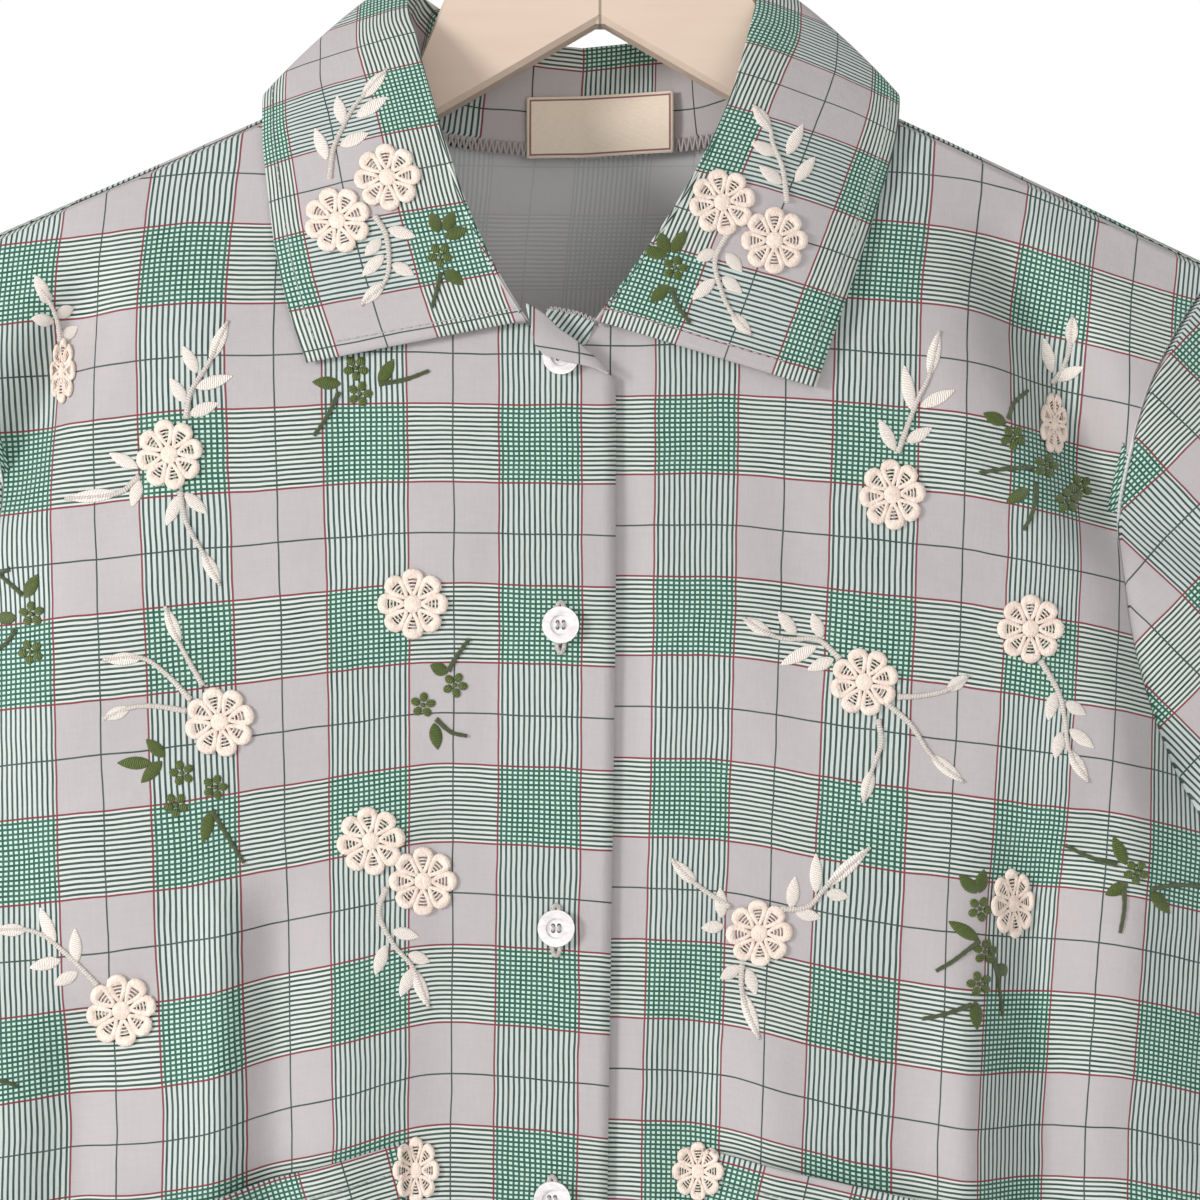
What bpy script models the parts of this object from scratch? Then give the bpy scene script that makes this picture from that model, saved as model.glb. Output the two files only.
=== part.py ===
"""Short-sleeved checked shirt with lace flowers, buttoned up on a flat wooden hanger.

Metres, +Z up. The origin is the seat of the hanger's hook, where a rail carries it.
The front faces -Y, +X is the viewer's right, and u is the distance from the centre front or back.
"""

from collections import namedtuple
import math

import bmesh
import bpy
from mathutils import Vector
from mathutils.bvhtree import BVHTree

# Cloth
WALL = 0.0014
SEAM_GAP = 0.0007

# Shoulders and neck
SHOULDER_RIDGE_Z = -0.1065
SHOULDER_SLOPE = 0.4536
NECK_HALF_WIDTH = 0.080
FRONT_NECK_DROP = 0.083
BACK_NECK_DROP = 0.0162
SHOULDER_TIP_U = 0.215

# Body
HEM_Z = -0.779
UNDERARM_Z = -0.415
PLACKET_LAP = 0.0175
PLACKET_CORNER_DROP = 0.017
FRONT_DEPTH = 0.040
BACK_DEPTH = 0.036
DEPTH_RISE = 0.075
SEAM_FORWARD = 0.0078
FRONT_SEAM_DROP = 0.0022
SHELF = 0.0125
BACK_WRAP = 0.018
BACK_CREST = 0.002
CORNER_POWER = 5
SHELF_POWER = 9
FOLD_FADE = 0.035
FRONT_FOLD_START = 0.008
BACK_FOLD_START = 0.030
FOLD_START_LENGTH = 0.050
UNDER_LAP_STEP = 0.0022
UNDER_LAP_U = 0.030
UNDER_LAP_EASE = 0.010
SHIFT_LENGTH = 0.090
COLLAR_SHIFT = -0.006
FRONT_SHIFT = -0.0125
LEAN = -0.0145
LEAN_TOP_Z = -0.320

# Shares of a panel's grid
NECK_SHARE = 0.40
LAP_SHARE = 0.12
EDGE_SHARE = 0.1
ARMHOLE_SHARE = 0.36
NECK_COLUMNS = 8
SHOULDER_COLUMNS = 13
ARMHOLE_ROWS = 11
SIDE_ROWS = 12
TOP_CROWDING = 1.35
BACK_NECK_COLUMNS = 6
BACK_SHOULDER_COLUMNS = 8
BACK_TURN_ROWS = (0.0, 0.0085, 0.0165, 0.0245, 0.034)

# Sleeves
SLEEVE_LENGTH = 0.240
SLEEVE_HEM_WIDTH = 0.182
SLEEVE_HEM_DEPTH = 0.030
SLEEVE_ANGLE = math.radians(45)
SLEEVE_RINGS = 8
CAP_ROUND = 0.010
SLEEVE_CLEAR = 0.0011
SLEEVE_TIP_CLEAR = 0.0010
SLEEVE_COLUMNS = 20

# Hanger
BOARD_HALF_THICK = 0.007
BOARD_HALF_SPAN = 0.195
BOARD_CLEAR = 0.0048
BOARD_TOP_Z = -0.072
BOARD_APEX_Z = -0.121
HOOK_WIRE = 0.0040
HOOK_INNER_RADIUS = 0.018
HOOK_STEM_TOP_Z = -0.046
HOOK_BEND = (-0.006, -0.0385)
HOOK_ARC_START = 215
HOOK_ARC_SWEEP = 220
HOOK_ARC_STEPS = 11
HOOK_CLEAR = 0.0004
BOARD_STEPS = 15
BOARD_ROUND = 0.0018
BoardEdge = namedtuple("BoardEdge", "x z")
BOARD_UPPER = (
    BoardEdge(0.0, BOARD_TOP_Z),
    BoardEdge(0.0180, -0.0745),
    BoardEdge(0.0340, -0.0880),
    BoardEdge(0.0530, -0.1160),
    BoardEdge(0.0580, -0.1285),
    BoardEdge(0.0620, -0.1420),
    BoardEdge(0.0670, -0.1472),
)
BOARD_LOWER = (
    BoardEdge(0.0, BOARD_APEX_Z),
    BoardEdge(0.060, -0.1555),
    BoardEdge(0.110, -0.1815),
    BoardEdge(0.160, -0.2040),
    BoardEdge(0.205, -0.2235),
)

# Trims
BUTTON_DIAMETER = 0.0119
BUTTON_THICK = 0.0024
BUTTON_CLEAR = 0.0004
BUTTON_SEGMENTS = 16
BUTTON_DROPS = (0.0100, 0.0957, 0.1919, 0.2780, 0.3680, 0.4570)
FLOWER_THICK = 0.0013
TRIM_LIFT = 0.0005
FLOWER_REACH = 0.0007
POCKET_FLOWER_REACH = 0.006
LABEL_WIDTH = 0.050
LABEL_HEIGHT = 0.0225
LABEL_TOP_Z = -0.1387
LABEL_THICK = 0.0010
LABEL_CLEAR = 0.0014
LABEL_NECK_SHARE = 0.42

Width = namedtuple("Width", "z half_width")
BODY_WIDTHS = (
    Width(-0.20, 0.250),
    Width(-0.415, 0.238),
    Width(-0.60, 0.250),
    Width(-0.779, 0.264),
)

Edge = namedtuple("Edge", "z u")
ARMHOLE = (
    Edge(-0.2040, 0.215),
    Edge(-0.2230, 0.203),
    Edge(-0.2450, 0.191),
    Edge(-0.2700, 0.184),
    Edge(-0.2980, 0.182),
    Edge(-0.3300, 0.186),
    Edge(-0.3620, 0.197),
    Edge(-0.3920, 0.214),
    Edge(-0.4150, 0.238),
)

Fold = namedtuple("Fold", "u_top z_top u_bottom z_bottom bow width recess")
FRONT_FOLDS = {
    "left": (
        Fold(0.152, -0.185, 0.196, -0.305, -0.006, 0.012, 0.015),
        Fold(0.141, -0.170, 0.149, -0.235, 0.000, 0.010, -0.004),
        Fold(0.188, -0.285, 0.214, -0.400, 0.000, 0.018, 0.012),
        Fold(0.106, -0.390, 0.110, -0.950, 0.000, 0.009, -0.007),
        Fold(0.088, -0.390, 0.088, -0.950, 0.000, 0.010, 0.004),
        Fold(0.036, -0.350, 0.036, -0.500, 0.000, 0.012, 0.002),
        Fold(0.150, -0.430, 0.162, -0.950, 0.004, 0.015, 0.009),
    ),
    "right": (
        Fold(0.144, -0.168, 0.192, -0.315, -0.008, 0.0135, 0.019),
        Fold(0.188, -0.285, 0.214, -0.400, 0.000, 0.018, 0.014),
        Fold(0.130, -0.420, 0.134, -0.950, 0.000, 0.010, -0.006),
        Fold(0.152, -0.380, 0.160, -0.950, 0.000, 0.014, 0.012),
        Fold(0.044, -0.420, 0.046, -0.520, 0.000, 0.012, 0.003),
        Fold(0.082, -0.560, 0.084, -0.950, 0.000, 0.016, 0.005),
    ),
}
BACK_FOLDS = {
    "left": (
        Fold(0.128, -0.190, 0.172, -0.420, -0.008, 0.014, 0.012),
        Fold(0.070, -0.300, 0.086, -0.950, 0.000, 0.018, 0.010),
        Fold(0.170, -0.400, 0.182, -0.950, 0.000, 0.015, 0.009),
    ),
    "right": (
        Fold(0.120, -0.190, 0.168, -0.400, -0.008, 0.014, 0.014),
        Fold(0.048, -0.340, 0.052, -0.950, 0.004, 0.016, 0.009),
        Fold(0.128, -0.370, 0.136, -0.950, 0.000, 0.018, 0.011),
    ),
}
SIDES = {"left": -1, "right": 1}

# Half of the collar from its front end to the centre back: the neck angle gives the seam,
# then the top of the roll and the outer edge of the leaf
Station = namedtuple("Station", "neck_angle roll_u roll_y roll_z edge_u edge_z")
COLLAR = (
    Station(-81.5, 0.0105, -0.0480, -0.2205, 0.0815, -0.2410),
    Station(-60.0, 0.0225, -0.0480, -0.2065, 0.0880, -0.2230),
    Station(-38.0, 0.0360, -0.0435, -0.1820, 0.0940, -0.2040),
    Station(-18.0, 0.0480, -0.0330, -0.1520, 0.0995, -0.1830),
    Station(-6.0, 0.0560, -0.0165, -0.1235, 0.1035, -0.1650),
    Station(0.0, 0.0600, 0.0020, -0.1060, 0.1050, -0.1520),
    Station(22.0, 0.0560, 0.0140, -0.1080, 0.0985, -0.1660),
    Station(45.0, 0.0420, 0.0225, -0.1155, 0.0730, -0.1800),
    Station(68.0, 0.0220, 0.0275, -0.1215, 0.0380, -0.1865),
    Station(90.0, 0.0000, 0.0290, -0.1240, 0.0000, -0.1885),
)
COLLAR_POINT_DROP = {"left": 0.0035, "right": -0.0045}
COLLAR_LIFT = 0.0034
COLLAR_OVER_SHOULDER = 0.005
COLLAR_PUFF = 0.006
COLLAR_ROLL = 0.0055
COLLAR_STAND_IN = 0.0046
COLLAR_STAND_UP = 0.0018
COLLAR_COLUMNS = 20
COLLAR_ROWS = 9
STAND_SHARE = 0.38

# Pockets, by the corners of their openings
Pocket = namedtuple("Pocket", "inner_u inner_z outer_z")
POCKETS = {
    "left": Pocket(0.045, -0.485, -0.523),
    "right": Pocket(0.052, -0.489, -0.520),
}
POCKET_COLUMNS = 11
POCKET_WIDTH = 0.135
POCKET_ROWS = 8
POCKET_HEIGHT = 0.150
POCKET_LIFT = 0.0010
POCKET_GAPE = 0.0045

# Lace flowers, where their centres lie as seen from the front; squash is the width that a fold leaves
Flower = namedtuple("Flower", "name carrier x z radius squash")
FLOWERS = (
    Flower("flower_collar_left_upper", "collar", -0.0678, -0.1786, 0.0103, 1.0),
    Flower("flower_collar_left_lower", "collar", -0.0838, -0.1923, 0.0103, 1.0),
    Flower("flower_collar_right_upper", "collar", 0.0390, -0.1866, 0.0103, 1.0),
    Flower("flower_collar_right_lower", "collar", 0.0557, -0.1987, 0.0103, 1.0),
    Flower("flower_left_shoulder", "front_left", -0.1722, -0.2400, 0.0105, 0.5),
    Flower("flower_left_chest", "front_left", -0.1376, -0.2672, 0.0112, 0.95),
    Flower("flower_left_placket", "front_left", -0.0598, -0.3149, 0.0116, 1.0),
    Flower("flower_left_side", "front_left", -0.1216, -0.3526, 0.0116, 1.0),
    Flower("flower_left_pair_upper", "front_left", -0.0733, -0.3907, 0.0112, 1.0),
    Flower("flower_left_pair_lower", "front_left", -0.0566, -0.4035, 0.0112, 1.0),
    Flower("flower_left_waist", "front_left", -0.1530, -0.4448, 0.0118, 1.0),
    Flower("flower_left_pocket", "pocket_left", -0.0600, -0.4970, 0.0112, 0.64),
    Flower("flower_right_shoulder", "front_right", 0.1450, -0.2573, 0.0105, 0.45),
    Flower("flower_right_chest", "front_right", 0.0934, -0.2800, 0.0112, 0.95),
    Flower("flower_right_side", "front_right", 0.1376, -0.3229, 0.0110, 1.0),
    Flower("flower_right_middle", "front_right", 0.0845, -0.3398, 0.0112, 1.0),
    Flower("flower_right_hip", "front_right", 0.1318, -0.4106, 0.0116, 0.66),
    Flower("flower_right_waist", "front_right", 0.0509, -0.4202, 0.0108, 1.0),
    Flower("flower_right_pocket", "pocket_right", 0.0314, -0.4963, 0.0095, 0.9),
)
PETALS = 8
PETAL_NOTCH = 0.16


def clear_scene():
    for old in list(bpy.data.objects):
        bpy.data.objects.remove(old, do_unlink=True)


def collection(name):
    made = bpy.data.collections.new(name)
    bpy.context.scene.collection.children.link(made)
    return made


def material(name, color, roughness, metallic=0.0):
    made = bpy.data.materials.new(name)
    made.use_nodes = True
    shader = made.node_tree.nodes["Principled BSDF"]
    shader.inputs["Base Color"].default_value = (*color, 1.0)
    shader.inputs["Roughness"].default_value = roughness
    shader.inputs["Metallic"].default_value = metallic
    return made


def smooth(share):
    share = min(max(share, 0.0), 1.0)
    return share * share * (3 - 2 * share)


def mix(a, b, share):
    return a + (b - a) * share


def read(rows, at):
    """The second and later columns of a table at a value of its first column, on a smooth curve."""
    keys = [row[0] for row in rows]
    values = [Vector(row[1:]) if len(row) > 2 else row[1] for row in rows]
    if keys[0] > keys[-1]:
        keys.reverse()
        values.reverse()
    at = min(max(at, keys[0]), keys[-1])
    i = max(k for k in range(len(keys) - 1) if keys[k] <= at)

    def slope(k):
        low, high = max(k - 1, 0), min(k + 1, len(keys) - 1)
        return (values[high] - values[low]) / (keys[high] - keys[low])

    span = keys[i + 1] - keys[i]
    t = (at - keys[i]) / span
    return (
        values[i] * (2 * t**3 - 3 * t**2 + 1)
        + slope(i) * (span * (t**3 - 2 * t**2 + t))
        + values[i + 1] * (3 * t**2 - 2 * t**3)
        + slope(i + 1) * (span * (t**3 - t**2))
    )


def shoulder_z(u):
    return SHOULDER_RIDGE_Z - SHOULDER_SLOPE * abs(u)


def centre_x(z):
    """The shirt hangs a little to one side, its front more than its neck, and leans on down to the hem."""
    shift = mix(COLLAR_SHIFT, FRONT_SHIFT, smooth((shoulder_z(NECK_HALF_WIDTH) - z) / SHIFT_LENGTH))
    return shift + LEAN * max(LEAN_TOP_Z - z, 0.0)


def depth_rise(drop):
    return 1 - math.exp(-((max(drop, 0.0) / DEPTH_RISE) ** 1.2))


def roundness(u, z):
    share = min(abs(u) / read(BODY_WIDTHS, z), 1.0)
    return math.sqrt(1 - share**CORNER_POWER)


def shelf_depth(u, z):
    """How far the cloth stands off the hanger, none at the side seam."""
    share = min(abs(u) / read(BODY_WIDTHS, z), 1.0)
    return SHELF * math.sqrt(1 - share**SHELF_POWER)


def fold_depth(folds, u, z):
    total = 0.0
    for fold in folds:
        t = (fold.z_top - z) / (fold.z_top - fold.z_bottom)
        if not 0 < t < 1:
            continue
        line = mix(fold.u_top, fold.u_bottom, t) + fold.bow * 4 * t * (1 - t)
        fade_length = FOLD_FADE / (fold.z_top - fold.z_bottom)
        fade = smooth(t / fade_length) * smooth((1 - t) / fade_length)
        total += fold.recess * fade * math.exp(-(((u - line) / fold.width) ** 2))
    return total


def front_y(side, u, z):
    """The outer face of the front on one side of the centre line."""
    drop = shoulder_z(u) - z
    forward = shelf_depth(u, z) + FRONT_DEPTH * depth_rise(drop) * roundness(u, z)
    forward -= fold_depth(FRONT_FOLDS[side], u, z) * smooth((drop - FRONT_FOLD_START) / FOLD_START_LENGTH)
    return -forward


def back_y(side, u, z):
    """The outer face of the back below its turn over the hanger."""
    drop = shoulder_z(u) - z
    depth = shelf_depth(u, z) + BACK_DEPTH * depth_rise(drop) * roundness(u, z)
    return depth - fold_depth(BACK_FOLDS[side], u, z) * smooth((drop - BACK_FOLD_START) / FOLD_START_LENGTH)


def front_neck(angle):
    """A point (u, z) of the front neck seam, 0 at the shoulder and 90 at the centre front."""
    a = math.radians(angle)
    top = shoulder_z(NECK_HALF_WIDTH) - FRONT_SEAM_DROP
    return Vector((NECK_HALF_WIDTH * math.cos(a), top - (FRONT_NECK_DROP - FRONT_SEAM_DROP) * math.sin(a)))


def back_neck(angle):
    a = math.radians(angle)
    return Vector((NECK_HALF_WIDTH * math.cos(a), shoulder_z(NECK_HALF_WIDTH) - BACK_NECK_DROP * math.sin(a)))


def shoulder_seam(share, lowered=0.0):
    u = mix(NECK_HALF_WIDTH, SHOULDER_TIP_U, share)
    return Vector((u, shoulder_z(u) - lowered))


def outer_edge(t, lowered=0.0):
    """The armhole, then the side seam, as (u, z)."""
    if t < ARMHOLE_SHARE:
        z = mix(ARMHOLE[0].z - lowered, UNDERARM_Z, t / ARMHOLE_SHARE)
        return Vector((read(ARMHOLE, z), z))
    z = mix(UNDERARM_Z, HEM_Z, (t - ARMHOLE_SHARE) / (1 - ARMHOLE_SHARE))
    return Vector((read(BODY_WIDTHS, z), z))


def patch(s, t, top, inner):
    """A Coons patch between a panel's top edge, its inner edge, its outer edge and the hem."""
    lowered = shoulder_z(SHOULDER_TIP_U) - top(1).y
    outer = outer_edge(t, lowered)
    hem = inner(1).lerp(outer_edge(1), s)
    corners = top(0).lerp(top(1), s) * (1 - t) + hem * t
    return top(s) * (1 - t) + hem * t + inner(t) * (1 - s) + outer * s - corners


def front_top(s, inner_corner):
    if s >= NECK_SHARE:
        return shoulder_seam((s - NECK_SHARE) / (1 - NECK_SHARE), FRONT_SEAM_DROP)
    share = s / NECK_SHARE
    neck_end = front_neck(-COLLAR[0].neck_angle)
    if share < LAP_SHARE:
        return inner_corner.lerp(neck_end, share / LAP_SHARE)
    return front_neck(-COLLAR[0].neck_angle * (1 - (share - LAP_SHARE) / (1 - LAP_SHARE)))


def front_uz(side, s, t):
    corner_drop = PLACKET_CORNER_DROP if side == "left" else 0.0
    corner = Vector((-PLACKET_LAP, shoulder_z(NECK_HALF_WIDTH) - FRONT_NECK_DROP - corner_drop))
    hem_corner = Vector((-PLACKET_LAP, HEM_Z))
    return patch(s, t, lambda share: front_top(share, corner), lambda share: corner.lerp(hem_corner, share))


def back_uz(s, t):
    """Half of the back: s runs from the centre to the side."""
    def top(share):
        if share >= NECK_SHARE:
            return shoulder_seam((share - NECK_SHARE) / (1 - NECK_SHARE))
        return back_neck(90 * (1 - share / NECK_SHARE))

    centre = Vector((0, shoulder_z(NECK_HALF_WIDTH) - BACK_NECK_DROP))
    return patch(s, t, top, lambda share: centre.lerp(Vector((0, HEM_Z)), share))


def front_point(side, s, t):
    u, z = front_uz(side, s, t)
    y = front_y(side, u, z) - SEAM_GAP * smooth((s - 1) / EDGE_SHARE + 1)
    if side == "right":
        y += UNDER_LAP_STEP * smooth((UNDER_LAP_U - u) / UNDER_LAP_EASE)
    return Vector((SIDES[side] * u + centre_x(z), y, z))


def back_surface(side, u, z):
    """Back of the shirt at (u, z) measured on the cloth, with its turn over the hanger's top."""
    drop = max(shoulder_z(u) - z, 0.0)
    turn = min(drop / BACK_WRAP, 1.0)
    y = mix(-SEAM_FORWARD + SEAM_GAP, back_y(side, u, z), smooth(turn))
    z += drop * (1 - turn**3) + BACK_CREST * math.sin(math.pi * turn)
    return Vector((SIDES[side] * u + centre_x(z), y, z))


def back_point(side, s, t):
    u, z = back_uz(s, t)
    point = back_surface(side, u, z)
    point.y += SEAM_GAP * smooth((s - 1) / EDGE_SHARE + 1) * smooth(t / EDGE_SHARE)
    return point


def spaced(count, crowding=1.0):
    return [(i / count) ** crowding for i in range(count + 1)]


def panel_columns(neck_count=NECK_COLUMNS, shoulder_count=SHOULDER_COLUMNS):
    neck = [NECK_SHARE * share for share in spaced(neck_count)]
    side = [mix(NECK_SHARE, 1.0, share) for share in spaced(shoulder_count)]
    return neck[:-1] + side[:-1] + [0.99, 1.0]


def panel_rows():
    arm = [ARMHOLE_SHARE * share for share in spaced(ARMHOLE_ROWS, TOP_CROWDING)]
    side = [mix(ARMHOLE_SHARE, 1.0, share) for share in spaced(SIDE_ROWS)]
    return arm[:-1] + side


def wall_object(name, columns, rows, point, outward, look, home, wall=WALL, ring=False):
    """An open sheet over a grid of shares, given its thickness on the inner side."""
    bm = bmesh.new()
    bmesh.ops.create_grid(bm, x_segments=len(columns) - 1, y_segments=len(rows) - 1, size=0.5)
    for vertex in bm.verts:
        column = columns[round((vertex.co.x + 0.5) * (len(columns) - 1))]
        row = rows[round((vertex.co.y + 0.5) * (len(rows) - 1))]
        vertex.co = point(column, row)
    if ring:
        bmesh.ops.remove_doubles(bm, verts=bm.verts, dist=0.00001)
    bm.normal_update()
    facing = sum(face.normal.dot(outward(face.calc_center_median())) for face in bm.faces)
    if facing < 0:
        bmesh.ops.reverse_faces(bm, faces=bm.faces)
    mesh = bpy.data.meshes.new(name)
    bm.to_mesh(mesh)
    bm.free()
    mesh.shade_smooth()
    made = bpy.data.objects.new(name, mesh)
    mesh.materials.append(look)
    home.objects.link(made)
    solid = made.modifiers.new("wall", "SOLIDIFY")
    solid.thickness = wall
    solid.offset = -1.0
    return made


def build_fronts(look, home):
    made = {}
    for side in SIDES:
        made["front_" + side] = wall_object(
            "front_" + side,
            panel_columns(),
            panel_rows(),
            lambda s, t, side=side: front_point(side, s, t),
            lambda at: Vector((0, -1, 0)),
            look,
            home,
        )
    return made


def build_back(look, home):
    half = panel_columns(BACK_NECK_COLUMNS, BACK_SHOULDER_COLUMNS)
    columns = [-share for share in reversed(half[1:])] + half
    rows = list(BACK_TURN_ROWS) + [row for row in panel_rows() if row > BACK_TURN_ROWS[-1] + 0.01]
    return wall_object(
        "back",
        columns,
        rows,
        lambda s, t: back_point("right" if s > 0 else "left", abs(s), t),
        lambda at: Vector((0, 1, 0)),
        look,
        home,
    )


def armhole_point(side, share):
    """A point of the armhole loop: 0 at the shoulder, then the front, 0.5 under the arm, then the back."""
    down = ARMHOLE_SHARE * min(share * 2, 2 - share * 2)
    front = front_point(side, 1.0, down)
    back = back_point(side, 1.0, down)
    if share in (0.0, 0.5, 1.0):
        return front.lerp(back, 0.5)
    return front if share < 0.5 else back


def sleeve_point(side, share, along):
    start = armhole_point(side, share)
    out = SIDES[side]
    axis = Vector((out * math.cos(SLEEVE_ANGLE), 0, -math.sin(SLEEVE_ANGLE)))
    across = Vector((out * math.sin(SLEEVE_ANGLE), 0, math.cos(SLEEVE_ANGLE)))
    tip = armhole_point(side, 0.0)
    middle = Vector((tip.x, 0, tip.z)) + axis * SLEEVE_LENGTH - across * SLEEVE_HEM_WIDTH / 2
    turn = 2 * math.pi * share
    height = math.cos(turn) * SLEEVE_HEM_WIDTH / 2
    hem = middle + across * height - Vector((0, SLEEVE_HEM_DEPTH * math.sin(turn), 0))
    under = 0.5 - 0.5 * math.cos(turn)
    point = start.lerp(hem, along)
    point.x = mix(start.x, hem.x, along ** mix(1.0, 0.5, under))
    point.z = mix(start.z, hem.z, along ** mix(1.0, 1.9, under))
    bulge = math.sin(math.pi * min(along * 1.6, 1.0)) * (1 - under)
    point += across * CAP_ROUND * bulge
    clear = SLEEVE_CLEAR + SLEEVE_TIP_CLEAR * (1 - under) ** 12
    point += Vector((out * (1 - under * 0.6), 0, under)) * clear * (1 - along)
    return point


def build_sleeves(look, home):
    # The shares near 1 meet the rows with which the back turns over the shoulder
    turn_shares = [1 - row / (2 * ARMHOLE_SHARE) for row in reversed(BACK_TURN_ROWS[:-1])]
    columns = spaced(SLEEVE_COLUMNS)[:-1] + turn_shares
    for side in SIDES:
        middle = sleeve_point(side, 0.25, 0.5).lerp(sleeve_point(side, 0.75, 0.5), 0.5)
        wall_object(
            "sleeve_" + side,
            columns,
            spaced(SLEEVE_RINGS),
            lambda share, along, side=side: sleeve_point(side, share, along),
            lambda at, middle=middle: Vector((0, at.y - middle.y, 0)),
            look,
            home,
            ring=True,
        )


def collar_frame(side, share):
    """Seam, roll and edge of the collar at a share of its half: 0 at the front end, 1 at the centre back."""
    rows = [(i / (len(COLLAR) - 1), *station) for i, station in enumerate(COLLAR)]
    angle, roll_u, roll_y, roll_z, edge_u, edge_z = read(rows, share)
    out = SIDES[side]
    if angle < 0:
        u, z = front_neck(-angle)
        seam = Vector((out * u + centre_x(z), front_y(side, u, z), z))
    else:
        u, z = back_neck(angle)
        seam = back_surface(side, u, z)
    middle = Vector((centre_x(seam.z), 0.0, seam.z))
    inward = (middle - seam).normalized() if abs(angle) < 70 or angle > 0 else Vector((0, 0, 1))
    seam += inward * COLLAR_STAND_IN + Vector((0, 0, COLLAR_STAND_UP))
    roll = Vector((out * roll_u + centre_x(roll_z), roll_y, roll_z))
    edge_z += COLLAR_POINT_DROP[side] * smooth((0.5 - share) / 0.5)
    edge_y = front_y(side, edge_u, edge_z) - COLLAR_LIFT
    front_edge = Vector((out * edge_u + centre_x(edge_z), edge_y, edge_z))
    back_edge = back_surface(side, edge_u, edge_z) + Vector((0, 0.8, 0.6)) * COLLAR_LIFT
    side_share = 5 / (len(COLLAR) - 1)
    blend = smooth((share - side_share + 0.10) / 0.20)
    edge = front_edge.lerp(back_edge, blend)
    edge.z += COLLAR_OVER_SHOULDER * math.sin(math.pi * blend)
    outward = Vector((edge.x - roll.x, (edge.y - roll.y), 0))
    return seam, roll, edge, outward.normalized()


def bezier(a, b, c, d, t):
    return a * (1 - t) ** 3 + b * 3 * t * (1 - t) ** 2 + c * 3 * t * t * (1 - t) + d * t**3


def collar_point(side, share, across):
    seam, roll, edge, outward = collar_frame(side, share)
    up = Vector((0, 0, 1))
    fullness = smooth(share / 0.25)
    if across <= STAND_SHARE:
        t = across / STAND_SHARE
        return bezier(seam, seam.lerp(roll, 0.5), roll - outward * COLLAR_ROLL * 0.5 * fullness, roll, t)
    t = (across - STAND_SHARE) / (1 - STAND_SHARE)
    forward = Vector((0, -0.6, 0)) * (1 - smooth((share - 0.4) / 0.2))
    puff = (outward * 0.5 + up * 0.5 + forward) * COLLAR_PUFF
    return bezier(
        roll,
        roll + outward * COLLAR_ROLL * (0.4 + 0.6 * fullness),
        edge.lerp(roll, 0.45) + puff * fullness,
        edge,
        t,
    )


def build_collar(look, home):
    half = spaced(COLLAR_COLUMNS)
    columns = [-1 + share for share in half[:-1]] + half
    rows = [STAND_SHARE * share for share in spaced(4)] + [
        mix(STAND_SHARE, 1.0, share) for share in spaced(COLLAR_ROWS - 4, 1.4)[1:]
    ]

    def point(s, t):
        return collar_point("left" if s < 0 else "right", 1 - abs(s), t)

    middle = Vector((COLLAR_SHIFT, 0, -0.25))
    return wall_object(
        "collar", columns, rows, point, lambda at: at - middle, look, home
    )


def surface_of(objects, reach=0.0):
    """The outermost wall of finished objects within a reach, for pieces that lie on them."""
    steps = (-1, 0, 1) if reach else (0,)
    around = [(dx * reach, dz * reach) for dx in steps for dz in steps]
    graph = bpy.context.evaluated_depsgraph_get()
    trees = [BVHTree.FromObject(made, graph) for made in objects]

    def hit_y(x, z):
        starts = [Vector((x + dx, -1, z + dz)) for dx, dz in around]
        found = [tree.ray_cast(start, Vector((0, 1, 0)))[0] for tree in trees for start in starts]
        return min(at.y for at in found if at)

    return hit_y


def pocket_rows_top(side, u):
    pocket = POCKETS[side]
    share = (u - pocket.inner_u) / POCKET_WIDTH
    return mix(pocket.inner_z, pocket.outer_z, share)


def build_pockets(fronts, look, home):
    made = {}
    columns = panel_columns()
    for side in SIDES:
        pocket = POCKETS[side]
        apart = [abs(front_uz(side, column, 0.5).x - pocket.inner_u) for column in columns]
        first = apart.index(min(apart))
        hit_y = surface_of([fronts["front_" + side]])

        def point(s, t, side=side, hit_y=hit_y):
            top = pocket_rows_top(side, front_uz(side, s, 0.5).x)
            z = mix(top, POCKETS[side].inner_z - POCKET_HEIGHT, t)
            share = (front_uz(side, s, 0).y - z) / (front_uz(side, s, 0).y - HEM_Z)
            for _ in range(12):
                share += (front_uz(side, s, share).y - z) / (front_uz(side, s, 0).y - HEM_Z)
            u = front_uz(side, s, share).x
            x = SIDES[side] * u + centre_x(z)
            across = (s - columns[first]) / (columns[first + POCKET_COLUMNS] - columns[first])
            gape = POCKET_GAPE * math.sin(math.pi * across) * (1 - t) ** 4
            return Vector((x, hit_y(x, z) - POCKET_LIFT - WALL - gape, z))

        made["pocket_" + side] = wall_object(
            "pocket_" + side,
            columns[first : first + POCKET_COLUMNS + 1],
            spaced(POCKET_ROWS, 1.3),
            point,
            lambda at: Vector((0, -1, 0)),
            look,
            home,
        )
    return made


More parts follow.
